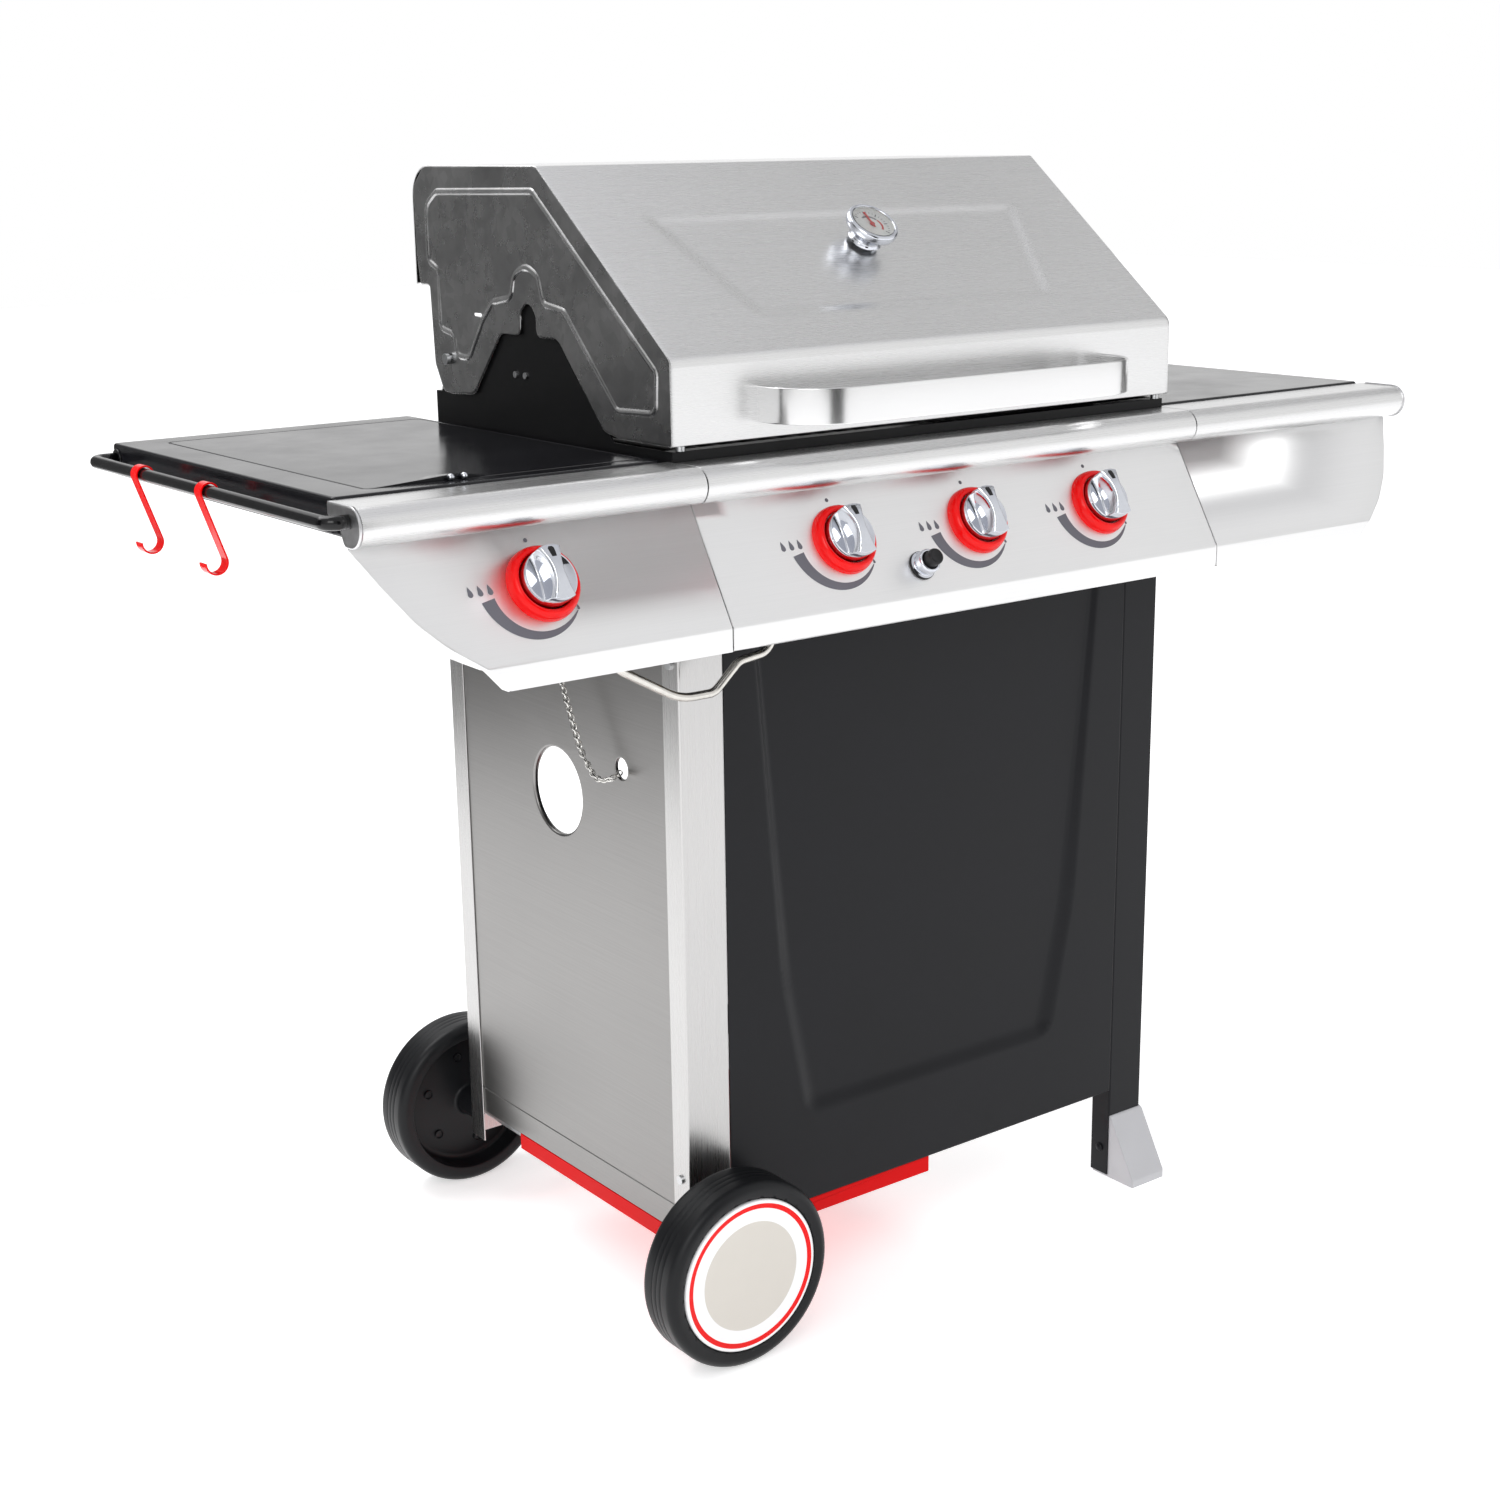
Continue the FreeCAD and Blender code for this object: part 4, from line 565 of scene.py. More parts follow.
def on_face(x, down, out=0.0):
    """A point along the control face and its upright lip, with a rounded bend between them."""
    bend = BEND_R * math.tan(TILT / 2)
    if down <= FACE_LEN - bend:
        return Vector((x, FACE_TOP_Y, FACE_TOP_Z)) + DOWN * down + OUT * out
    corner = Vector((x, FACE_TOP_Y, FACE_TOP_Z)) + DOWN * FACE_LEN
    lip_out = Vector((0, -1, 0))
    if down >= FACE_LEN + bend:
        return corner + Vector((0, 0, -1)) * (down - FACE_LEN) + lip_out * out
    t = (down - FACE_LEN + bend) / (2 * bend)
    start = corner - DOWN * bend
    end = corner + Vector((0, 0, -bend))
    middle = start * (1 - t) ** 2 + corner * 2 * t * (1 - t) + end * t ** 2
    return middle + (OUT * (1 - t) + lip_out * t).normalized() * out


# ---- cabinet ----
HOSE_Y, HOSE_Z, HOSE_R = 220.0, CABINET_TOP - 225.0, 44.6
MATCH_Y, MATCH_Z, MATCH_R = 103.0, CABINET_TOP - 177.5, 10.8


def side_panel(name, way):
    """Side sheet with its two rolled holes, a stiffening fold near the bottom and edge beads."""
    x = way * (HALF_W - 1.5)
    y0, y1 = FRONT_Y + 1.5, REAR_Y - 1.5

    def lift(y, z, height):
        return (x - way * height, y, z)

    fold_z = CABINET_BOTTOM + 29
    outline = rectangle(y0, CABINET_BOTTOM, y1, CABINET_TOP)
    holes = [circle(HOSE_Y, HOSE_Z, HOSE_R + 2.5, 64), circle(MATCH_Y, MATCH_Z, MATCH_R + 1.2, 32)]
    groove = rectangle(y0 + 2, fold_z - 2.2, y1 - 2, fold_z, 0.8, 2)
    creases = [(groove, 0.0), (offset_loop(counter_clockwise(groove), -0.7), 0.9)]
    shape = plate(outline, holes, creases, lift, flip=way < 0)
    for y, z, r, roll, steps in ((HOSE_Y, HOSE_Z, HOSE_R, 2.5, 64), (MATCH_Y, MATCH_Z, MATCH_R, 1.2, 32)):
        place = turned_to((x, y, z), (-way, 0, 0))
        rolled = [(r + roll, 0), (r + roll * 0.4, roll * 0.2), (r, roll * 0.8), (r, roll + 2.5)]
        shape.lathe(rolled, place, steps, flip=True)
    inner = [(x - way * 12, CABINET_BOTTOM + 1), (x - way * 1.5, CABINET_BOTTOM + 0.5)]
    edge = [[(px, y, pz) for px, pz in inner] for y in (y0 + POST_SIDE, y1 - POST_SIDE)]
    shape.grid(edge, flip=way < 0)
    # The side sheet's finish carries painted shade: a much darker base colour than the other stainless.
    make(name, shape, "stainless_dark", "cart", name, thick=SHEET)


def front_post():
    """Left front post: a bright folded angle with rounded bend."""
    x0 = -HALF_W
    x1, y0 = x0 + POST_W, FRONT_Y
    profile = soften([(x1, y0 + 9), (x1, y0), (x0, y0), (x0, y0 + POST_SIDE)], [0, 1.5, 2.4, 0])
    low = limits("front_post_left")[0].z
    shape = strip(profile, low, CABINET_TOP, "z", flip=True, pieces=8)
    make("front_post_left_sheet", shape, "stainless_post", "cart", "front_post_left", thick=THICK_SHEET)


def front_leg():
    """Right front leg: black channel whose inner flange runs down beside the foot."""
    low, high = limits("front_leg_right")
    foot_top = limits("feet")[1].z
    x0, x1 = low.x, high.x
    y1 = FRONT_Y + POST_SIDE
    profile = soften([(x0, y1), (x0, FRONT_Y), (x1, FRONT_Y), (x1, y1)], [0, 2.2, 2.2, 0])
    shape = strip(profile, foot_top, CABINET_TOP, "z", pieces=6)
    profile = [(x0, y1), (x0, FRONT_Y + 1.0), (x0 + 0.6, FRONT_Y + 0.3)]
    lower = strip(profile, low.z, foot_top, "z", pieces=2)
    shape.add(lower.points, lower.faces)
    screw = [(0, 1.6), (2.6, 1.4), (3.4, 0.5), (3.4, 0)]
    shape.lathe(screw, turned_to((x0, FRONT_Y + 13, 34), (-1, 0, 0)), 20)
    make("front_leg_right_sheet", shape, "black_steel", "cart", "front_leg_right", thick=THICK_SHEET)


def front_panel():
    """Facade sheet with its deep pressed field that narrows downwards."""
    low, high = limits("front_panel")
    x0, x1 = low.x, high.x
    h = CABINET_TOP - CABINET_BOTTOM
    top, bend, base = CABINET_TOP - 4, CABINET_BOTTOM + 0.38 * h, CABINET_BOTTOM + 0.14 * h
    field = soften([(x0 + 30, top), (x0 + 62, bend), (x0 + 92, base), (x1 - 92, base), (x1 - 62, bend),
                    (x1 - 30, top)], [0, 220, 26, 26, 220, 0], 10, closed=True)

    def lift(x, z, height):
        return (x, FRONT_Y + height, z)

    rows = [rectangle(x0 + d, CABINET_BOTTOM + d, x1 - d, CABINET_TOP - d) for d in (0.0, 1.2)]
    shape = plate(rows[0], [], pressed(field, 22.0, 6.0) + [(rows[1], 0.0)], lift)
    back = [[(x, FRONT_Y, CABINET_BOTTOM), (x, FRONT_Y + 10, CABINET_BOTTOM)] for x in (x0, x1)]
    shape.grid(back)
    make("front_panel_sheet", shape, "black_steel", "cart", "front_panel", thick=SHEET)


def chain():
    """Ball-and-link chain from under the wing down to the lighting hole."""
    x = -HALF_W
    fall = ((12, 84, 10), (19, 72, 95), (20, 36, 165), (19, 12, 188), (14, -6, 184), (2, -2, 180.5))
    points = [(x - out, MATCH_Y + back, CABINET_TOP - down) for out, back, down in fall]
    path = soften(points, [0, 90, 60, 22, 14, 0], 14)
    shape = Shape()
    step, travelled, next_at, number = 4.6, 0.0, 0.0, 0
    for a, b in zip(path, path[1:]):
        length = (b - a).length
        while next_at <= travelled + length:
            centre = a.lerp(b, (next_at - travelled) / length)
            way = (b - a).normalized()
            side = way.orthogonal().normalized()
            side = side if number % 2 else way.cross(side)
            ring = [centre + way * (3.9 * across) + side * (2.5 * along) for across, along in ring_xy(1.0, 14)]
            shape.tube(ring, 0.75, 6, closed=True)
            next_at += step
            number += 1
        travelled += length
    make("match_chain_links", shape, "chain_steel", "cart", "match_chain", "zinc")


# ---- wheels ----
WHEEL_R = 94.3
WHEEL_W = 50.0
CAP_R = 76.6
SHOULDER_R = 9.0
AXLE_IN = 18.2
HUB_OUT = 24.0


def wheel(name, hub_y, way):
    """Moulded wheel with a round-shouldered tread, web, ribs and hub, and its printed disc."""
    place = turned_to((BODY_LOW.x + AXLE_IN, hub_y, WHEEL_R), (0, -way, 0))
    r, w, round_r = WHEEL_R, WHEEL_W, SHOULDER_R
    tread = [(CAP_R + 1.6, w - 1.5), (CAP_R + 4.5, w - 0.5)] + arc(r - round_r, w - round_r, round_r, 90, 0, 9)
    for groove in (0.36, 0.5, 0.64):
        tread += [(r, w * (1 - groove) + 0.9), (r - 0.7, w * (1 - groove)), (r, w * (1 - groove) - 0.9)]
    tread += arc(r - round_r, round_r, round_r, 0, -90, 9) + [(r - 16, 0.6), (r - 17.2, 2.5), (r - 18.5, 20)]
    web = [(r - 24, 22), (r - 27, 20.5), (r - 34, 20.5), (20, 14), (17.5, 12), (16, 8), (16, -22), (14.5, -23),
           (5.3, -23)]
    shape = Shape().lathe(tread + web, place, 128)
    shape.lathe([(CAP_R + 1.6, w - 1.5), (CAP_R + 1.6, w - 5), (5.3, w - 5)], place, 96)
    for px, py in arc(0, 0, 52, 18, 318, 5):
        spot = place @ Matrix.Translation((px, py, 17.6))
        shape.lathe([(0, 0.9), (3.0, 0.9), (4.0, 1.2), (4.6, 0.6), (4.8, -1)], spot, 18, [1, 1, 0, 0])
    for i in range(4):
        angle = 2 * math.pi * (i + 0.4) / 4
        spot = place @ Matrix.Rotation(angle, 4, "Z") @ Matrix.Translation((r - 0.25, 0, 13)) \
            @ Matrix.Rotation(math.pi / 2, 4, "Y")
        shape.lathe([(0, 0.05), (1.3, 0.05), (1.9, 0.3), (2.3, 0.0)], spot, 14, [1, 0, 0])
    make(name + "_moulding", shape, "black_rubber black_plastic", name, name, angle=38)
    disc = [(0, w - 0.8), (55, w - 0.8), (55.2, w - 0.75), (68, w - 0.7), (68.3, w - 0.65), (72.6, w - 0.3),
            (73.0, w - 0.25), (75.2, w - 0.3), (76.4, w - 1.0), (76.6, w - 3.7)]
    kinds = [0, 1, 1, 2, 2, 2, 3, 3, 3]
    cap = Shape().lathe(disc, place, 128, kinds)
    make(name + "_disc", cap, "wheel_disc disc_white red_gloss disc_white", name, name + "_cap", angle=38)


def feet():
    """Hollow wedge feet with rounded edges and a shallow panel line."""
    low, high = limits("feet")
    y_front, y_back, top = FRONT_Y - 37.5, FRONT_Y + POST_SIDE, high.z
    shape = Shape()
    for flip in (False, True):
        side = soften([(y_front, 0), (y_back, 0), (y_back, top), (FRONT_Y, top), (y_front, 9)],
                      [2, 2, 2, 5, 5], 5, closed=True)
        if flip:
            middle = (FRONT_Y + REAR_Y) / 2
            side = [Vector((2 * middle - p.x, p.y)) for p in side[::-1]]
        centre = sum(side, Vector((0, 0))) / len(side)
        small = [centre + (p - centre) * 0.955 for p in side]
        rings = [[(low.x, p.x, p.y) for p in small], [(low.x + 1.6, p.x, p.y) for p in side],
                 [(high.x - 1.6, p.x, p.y) for p in side], [(high.x, p.x, p.y) for p in small]]
        shape.loft(rings)
    make("feet_mouldings", shape, "grey_plastic", "cart", "feet", angle=30)


# ---- front rail and control panels ----
def rail_profile(back):
    nose = arc(NOSE_Y, RAIL_TOP - NOSE_R, NOSE_R, 90, 270, 28)
    return [(back, RAIL_TOP - 3), (back, RAIL_TOP)] + nose + [(FACE_TOP_Y + 4, RAIL_TOP - 2 * NOSE_R)]


def front_rails():
    shape = Shape()
    end = RAIL_END - CAP_SEAT
    for x0, x1, back in ((-SEAM_LEFT, SEAM_LEFT, FRONT_Y), (SEAM_RIGHT, end, RAIL_BACK),
                         (-end, -SEAM_RIGHT, RAIL_BACK)):
        profile = soften(rail_profile(back), [0, 1.2] + [0] * 30, 4)
        part = strip(profile, x0, x1, "x", pieces=16)
        shape.add(part.points, part.faces)
    make("front_rails_rolled", shape, "stainless", "cart", "front_rails", thick=SHEET)


def rail_end_caps():
    """Cast caps that close the rail's ends."""
    z, r = RAIL_TOP - NOSE_R, NOSE_R + 1
    foot = [(NOSE_Y + 11, z - r), (NOSE_Y + 19, z - 2), (RAIL_BACK - 4, z + 5), (RAIL_BACK - 4, z + r)]
    outline = soften(arc(NOSE_Y, z, r, 90, 270, 20) + foot, [0] * 21 + [6, 12, 5, 3], 5, closed=True)
    centre = Vector((NOSE_Y + 3, z + 2))

    def ring(x, share):
        return [(x, centre.x + (p.x - centre.x) * share, centre.y + (p.y - centre.y) * share) for p in outline]

    stations = ((3, 1.0), (1.2, 1.0), (0.5, 0.985), (0, 0.94), (0.6, 0.80))
    shape = Shape().loft([ring(RAIL_END - inset, share) for inset, share in stations]).mirrored()
    make("rail_end_caps_cast", shape, "cap_metal", "cart", "rail_end_caps")


def control_panel_center():
    downs = [FACE_LEN * k / 6 for k in range(6)]
    downs += [FACE_LEN - 1.2 + 0.4 * k for k in range(7)] + [FACE_LEN + LIP_H - 1.4]
    rows = []
    for k in range(17):
        face = [on_face(SEAM_LEFT * (k / 8 - 1), d) for d in downs]
        hem = [face[-1] + Vector((0, 1.2, -1.2)), face[-1] + Vector((0, FLANGE, -1.2))]
        rows.append([face[0] + Vector((0, FLANGE, 0))] + face + hem)
    shape = Shape().grid(rows)
    for sign in (-1, 1):
        shape.grid([[on_face(sign * SEAM_LEFT, d, -back) for d in (0, FACE_LEN - 2)] for back in (0.0, FLANGE)],
                   flip=sign > 0)
    make("control_panel_center_sheet", shape, "panel_steel", "cart", "control_panel_center", "stainless",
         thick=THIN_SHEET)


def control_wing(name, way):
    """Outer control panel: the face ends in a long curve with a rounded flange along it."""
    end = RAIL_END - CAP_SEAT
    curve = [(end, 3), (641, 14), (629, 37), (609, 71), (587, 96), (555, 122), (538, FACE_LEN + LIP_H - 1)]
    curve = soften(curve, [0, 40, 60, 80, 90, 60, 0], 8)
    inner = SEAM_RIGHT
    bottom = FACE_LEN + LIP_H
    outline = [Vector((inner, bottom)), Vector((inner, 0)), Vector((end, 0))] + curve
    outline = [p for i, p in enumerate(outline) if i == 0 or (p - outline[i - 1]).length > 0.05]
    outline[-1] = Vector((outline[-1].x, bottom))
    bends = [rectangle(inner, FACE_LEN - 1.2 + 0.4 * k, end, FACE_LEN - 1.0 + 0.4 * k) for k in range(0, 6, 2)]

    def lift(x, down, height):
        point = on_face(x, down, -height)
        return (way * point.x, point.y, point.z)

    outer = counter_clockwise(outline)
    shape = plate(outer, [], [(b, 0.0) for b in bends], lift, flip=way > 0)
    normals = []
    for i in range(len(curve)):
        direction = (curve[min(i + 1, len(curve) - 1)] - curve[max(i - 1, 0)]).normalized()
        normals.append(Vector((direction.y, -direction.x)))
    flange = arc(0, 2.2, 2.2, -90, 0, 4) + [(2.2, 12.0)]
    rows = [[lift(*(p + n * out), back) for p, n in zip(curve, normals)] for out, back in flange]
    shape.grid(rows, flip=way < 0)
    lower = [[lift(x, bottom - 1.0, 0), lift(x, bottom, 1.0), lift(x, bottom, FLANGE)] for x in (inner, 538)]
    shape.grid(lower, flip=way < 0)
    shape.grid([[lift(inner, d, back) for d in (0, FACE_LEN - 2)] for back in (0.0, FLANGE)], flip=way > 0)
    make(name + "_sheet", shape, "panel_steel", "cart", name, "stainless", thick=THIN_SHEET)


def marks():
    """Printed marks on the panels: a dot over each knob, a tapering arc and small flames."""
    shape = Shape()

    def flat(points, x, down):
        rings = [[on_face(x + px, down + py, out) for px, py in points] for out in (0.02, 0.16)]
        shape.loft(rings, low=False)

    def flame(x, down, size):
        body = arc(0, size * 0.45, size * 0.5, -20, 200, 11)
        tip = [(-size * 0.42, size * 0.05), (-size * 0.38, -size * 0.45), (-size * 0.22, -size * 1.0),
               (size * 0.12, -size * 0.45), (size * 0.36, -size * 0.05)]
        flat(body + tip, x, down)

    for knob in KNOB_X:
        flat(ring_xy(1.9, 20), knob - 2.5, 14.5)
        steps = 48
        scale = []
        for t in (k / steps for k in range(steps + 1)):
            angle = math.radians(168 - t * 132)
            scale.append([(-13.5 + radius * math.cos(angle), -1.5 + radius * math.sin(angle))
                          for radius in (48.1 - 12.5 * (1 - t) ** 0.8, 48.8)])
        for (a, b), (c, d) in zip(scale, scale[1:]):
            flat([a, b, d, c], knob, KNOB_DOWN)
        for dx in (-69, -59.5, -50):
            flame(knob + dx, KNOB_DOWN - 2.0, 5.0)
        flame(knob + 27, KNOB_DOWN + 24, 2.6)
    make("panel_marks", shape, "mark_ink", "cart")


# ---- knobs and igniter ----
def at_face(x, down):
    """Matrix with +Z out of the face and +Y up the face."""
    turn = Matrix((Vector((1, 0, 0)), -DOWN, OUT)).transposed().to_4x4()
    return Matrix.Translation(on_face(x, down)) @ turn


def bezels():
    profile = [(25.6, 1.5), (25.6, 8.4), (26.0, 9.8), (27.0, 10.7), (28.3, 11.0), (29.6, 10.6), (31.2, 9.0),
               (32.5, 6.6), (33.4, 3.6), (33.8, 0.8), (33.8, 0.0)]
    shape = Shape()
    for x in KNOB_X:
        shape.lathe(profile[::-1], at_face(x, KNOB_DOWN), 96)
    make("knob_bezels_painted", shape, "red_gloss", "cart", "knob_bezels", angle=40)


def grip_height(px, py):
    """Height of the knob's crown: a rib that widens to its ends between two scooped sides."""
    radius = math.hypot(px, py)
    scoop = 9.5 + 3.6 * (radius / 24.0) ** 2
    rib = 28.6 - 4.2 * (py / 24.0) ** 2
    waist = 3.4 + 5.4 * (abs(py) / 23.0) ** 1.8
    t = min(max((abs(px) - waist) / 8.0, 0.0), 1.0)
    s = t * t * t * (t * (6 * t - 15) + 10)
    return rib * (1 - s) + scoop * s


def knob(number, x):
    """Chromed knob: scooped sides, flared grip rib and a black pointer on the rib's end."""
    place = at_face(x, KNOB_DOWN)
    base = 4.5
    steps, rings = 144, []

    def crown(px, py):
        return place @ Vector((px, py, base + grip_height(px, py)))

    rim = 23.5
    for radius, share in ((24.9, 0.0), (24.9, 0.35), (24.8, 0.7), (24.6, 0.93), (24.2, 0.985), (rim, 1.0)):
        inward = rim / radius
        rings.append([place @ Vector((px, py, base + share * grip_height(px * inward, py * inward)))
                      for px, py in ring_xy(radius, steps)])
    for k in range(1, 32):
        rings.append([crown(px, py) for px, py in ring_xy(rim * (1 - k / 32), steps)])
    shape = Shape().grid(rings, around=True).fan(rings[-1], crown(0, 0))
    under = [place @ Vector((px, py, base + 0.6)) for px, py in ring_xy(22.5, steps)]
    shape.grid([under, rings[0]], around=True)
    inlay = [(-2.1, 12.5), (2.1, 12.5), (2.6, 16.0), (2.9, 20.5), (1.6, 22.2), (-1.6, 22.2), (-2.9, 20.5),
             (-2.6, 16.0)]
    shape.loft([[place @ Vector((px, py, base + grip_height(0, py) + out)) for px, py in inlay]
                for out in (-1.0, 0.22)], kind=1)
    stem = [(0, base + 9), (4.0, base + 9), (4.0, -14.0), (3.2, -15.5), (0, -15.5)]
    shape.lathe(stem[::-1], place, 32, kinds=[2] * 4)
    name = "knob_%d" % number
    make(name + "_chromed", shape, "chrome black_plastic zinc", name, name, angle=34)


IGNITER_X, IGNITER_DOWN = -80.0, 91.0


def igniter():
    place = at_face(IGNITER_X, IGNITER_DOWN)
    collar = [(14.0, 0.0), (14.0, 1.8), (13.4, 2.8), (11.2, 3.0), (10.6, 4.0), (11.4, 5.2), (11.9, 8.0),
              (11.8, 12.5), (11.2, 14.2), (10.2, 14.9), (8.9, 14.8), (8.5, 13.6), (8.35, 4.0)]
    shape = Shape().lathe(collar, place, 72, kinds=[1] * 2 + [0] * 10)
    barrel = [(9.5, 0.0), (9.5, -4)]
    for k in range(10):
        barrel += [(9.0, -4.7 - k * 1.3), (9.5, -5.3 - k * 1.3)]
    shape.lathe((barrel + [(8.4, -18)])[::-1], place, 48, kinds=[1] * len(barrel))
    make("igniter_housing_collar", shape, "chrome black_plastic", "cart", "igniter_housing", angle=40)
    top = 25.0
    cap = [(0, top - 0.9), (3.5, top - 0.7), (5.6, top - 0.1), (6.6, top), (7.4, top - 0.5), (7.9, top - 1.6),
           (8.0, top - 3)]
    for k in range(4):
        cap += [(7.8, top - 4.0 - k * 1.5), (8.0, top - 4.6 - k * 1.5)]
    cap += [(8.0, -9.0), (0, -9.0)]
    button = Shape().lathe(cap[::-1], place, 48)
    make("igniter_button_cap", button, "black_plastic", "igniter_button", "igniter_button")


# ---- gas pipe ----
def feed_pipe():
    """Bent steel pipe that dips in two steps below the panels."""
    y = limits("side_burner_pipe")[0].y + 4.0
    z = limits("side_burner_pipe")[1].z - 4.0
    dips = ((-190, 0), (-214, 0), (-242, 54), (-274, 58), (-302, 83), (-340, 83), (-402, 48), (-454, 0),
            (-484, 0))
    path = soften([(x, y, z - dip) for x, dip in dips], [0, 14, 16, 16, 16, 60, 60, 30, 0], 10)
    shape = Shape().tube(path, 4.0, 20)
    for x, way in ((-186, -1), (-478, 1)):
        shape.lathe([(0, 0), (7.5, 0), (7.5, 10), (5.5, 12), (4.2, 12)], turned_to((x, y, z), (way, 0, 0)), 6)
    make("side_burner_pipe_bent", shape, "pipe_steel", "cart", "side_burner_pipe")


# ---- shelves ----
def folded_rows(low, high, top, skirt):
    """Rings of a folded shelf: top edge arc, skirt and its hem."""
    rows = []
    for inset, drop in ((3.0, 0), (1.9, 0.2), (0.9, 0.9), (0.2, 1.9), (0, 3.0), (0, skirt - 0.6), (0.4, skirt),
                        (12.0, skirt)):
        ring = rectangle(low.x + inset, low.y + inset, high.x - inset, high.y - inset, max(5.0 - inset, 0.8), 6)
        rows.append([(p.x, p.y, top - drop) for p in ring])
    return rows


def shelf(name, lid=None):
    low, high = limits(name)
    rows = folded_rows(low, high, DECK_Z, 30.0)
    shape = Shape().grid(rows, around=True, flip=True)
    outline = [Vector(p[:2]) for p in rows[0]]
    holes, rings = [], []
    if lid:
        x0, y0, x1, y1 = lid
        for inset, z, r in ((-2.2, DECK_Z, 8.0), (-1.2, DECK_Z - 0.5, 7.0), (-1.0, DECK_Z - 1.8, 7.0),
                            (6.0, DECK_Z - 1.8, 5.0), (12.0, DECK_Z - 1.9, 5.0), (14.0, DECK_Z - 3.2, 12.0),
                            (14.6, DECK_Z - 6, 14.0), (15.5, DECK_Z - 46, 14.0), (17.5, DECK_Z - 51, 13.0),
                            (22.0, DECK_Z - 52, 10.0)):
            ring = rectangle(x0 + inset, y0 + inset, x1 - inset, y1 - inset, r, 6)
            drop = 3.2 if z == DECK_Z - 1.8 else 0.0
            rings.append([(p.x, p.y, z - (drop if p.y > y1 - 10 else 0.0)) for p in ring])
        holes = [[Vector(p[:2]) for p in rings[0]]]
        shape.grid(rings, around=True)
        plate([Vector(p[:2]) for p in rings[-1]], [circle((x0 + x1) / 2, (y0 + y1) / 2, 15.0, 40)], [],
              lambda x, y, h: (x, y, DECK_Z - 52), shape=shape)
    plate(outline, holes, [], lambda x, y, h: (x, y, DECK_Z), shape=shape)
    make(name + "_sheet", shape, "shelf_paint", "cart", name, "black_steel", thick=THICK_SHEET)


def lid_outline():
    low, high = limits("side_burner_lid")
    return low.x, low.y, high.x, high.y


def burner_lid():
    """Flush lid with a rolled edge, a pressed finger lift and its two pull studs."""
    x0, y0, x1, y1 = lid_outline()
    rings = []
    for inset, drop in ((1.4, 0), (0.6, 0.2), (0.1, 0.7), (0, 1.4), (2.0, 1.45)):
        ring = rectangle(x0 + inset, y0 + inset, x1 - inset, y1 - inset, 6.0, 5)
        rings.append([(p.x, p.y, DECK_Z - drop) for p in ring])
    cx = (x0 + x1) / 2 - 52
    notch = 30.0

    def hump(x, y):
        """Height of the finger lift: a half bowl that opens to the front."""
        dx, dy = (x - cx) / notch, (y - y0) / 34.0
        d = math.sqrt(dx * dx + dy * dy)
        return 4.6 * max(0.0, 1 - d * d) ** 1.5 if d < 1 else 0.0

    outline = [Vector(p[:2]) for p in rings[0]]
    loops = []
    for share in (1.0, 0.86, 0.72, 0.56, 0.4, 0.22):
        loops.append(([Vector((cx + notch * across, y0 + 1.6 + 34 * along))
                       for across, along in arc(0, 0, share, 0, 180, 24)], 0.0))
    shape = plate(outline, [], loops, lambda x, y, h: (x, y, DECK_Z + hump(x, y)))
    shape.grid(rings, around=True, flip=True)
    barrel = 2.0
    shape.tube([(x, y1 - barrel, DECK_Z - barrel) for x in (x0 + 12, x1 - 12)], barrel, 16)
    stud = [(0, 7.0), (2.2, 6.6), (3.1, 5.2), (3.2, 3.0), (2.4, 1.6), (2.0, 0)]
    for dx in (-6.5, 6.5):
        shape.lathe(stud, turned_to((cx + dx, y0 + 1.5, DECK_Z + 1.6), (0, -1, 0.25)), 24, kinds=[1] * 5)
    make("side_burner_lid_sheet", shape, "shelf_paint chrome", "side_burner_lid", "side_burner_lid", "black_steel")


# ---- towel rail and hooks ----
def towel_rail():
    low, high = limits("towel_rail")
    x, z, r = low.x + 6, low.z + 6, 6.0
    y0, y1 = low.y + 6, high.y - 6
    points = [(-RAIL_END + 3, y0, z), (x, y0, z), (x, y1, z), (high.x, y1, z)]
    path = soften(points, 16.5, 14)
    straight = []
    for a, b in zip(path, path[1:]):
        pieces = max(1, int((b - a).length / 40))
        straight += [a.lerp(b, k / pieces) for k in range(pieces)]
    shape = Shape().tube(straight + [path[-1]], r, 32)
    shape.lathe([(6.0, 0), (9.5, 0), (9.5, 1.4), (8.5, 2.2), (6.0, 2.2)][::-1],
                turned_to((high.x + 0.2, y1, z), (-1, 0, 0)), 32)
    make("towel_rail_bar", shape, "black_gloss", "cart", "towel_rail")


def hook(name):
    """Flat S-hook: a loop over the rail, a shank that slants inwards and an open lower bend."""
    low, high = limits(name)
    rail_low, rail_high = limits("towel_rail")
    rx, rz = rail_low.x + 6.0, (rail_low.z + rail_high.z) / 2
    loop_r, bend_r, bend_x = 7.2, 11.1, 2.0
    bend_z = low.z + 12.0 - rz
    lean = math.atan2(bend_z, bend_x) + math.acos(-(loop_r + bend_r) / math.hypot(bend_x, bend_z))
    turn = math.degrees(lean)
    path = arc(rx, rz, loop_r, -20, 180 + turn, 22)
    path += arc(rx + bend_x, rz + bend_z, bend_r, turn, turn - 200, 24)
    shape = Shape().grid([[(x, y, z) for x, z in path] for y in (low.y + 0.4, high.y - 0.4)])
    make(name + "_bent", shape, "red_gloss", name, name, thick=1.7, bevel=0.35, angle=50)


# ---- hood ----
SLOPE_LEN = math.hypot(TOP_FRONT_Y, HOOD_TOP - CREASE_Z)
SLOPE_UP = Vector((0, TOP_FRONT_Y / SLOPE_LEN, (HOOD_TOP - CREASE_Z) / SLOPE_LEN))
SLOPE_OUT = Vector((0, -SLOPE_UP.z, SLOPE_UP.y))


def on_slope(x, up, out=0.0):
    return Vector((x, 0, CREASE_Z)) + SLOPE_UP * up + SLOPE_OUT * out


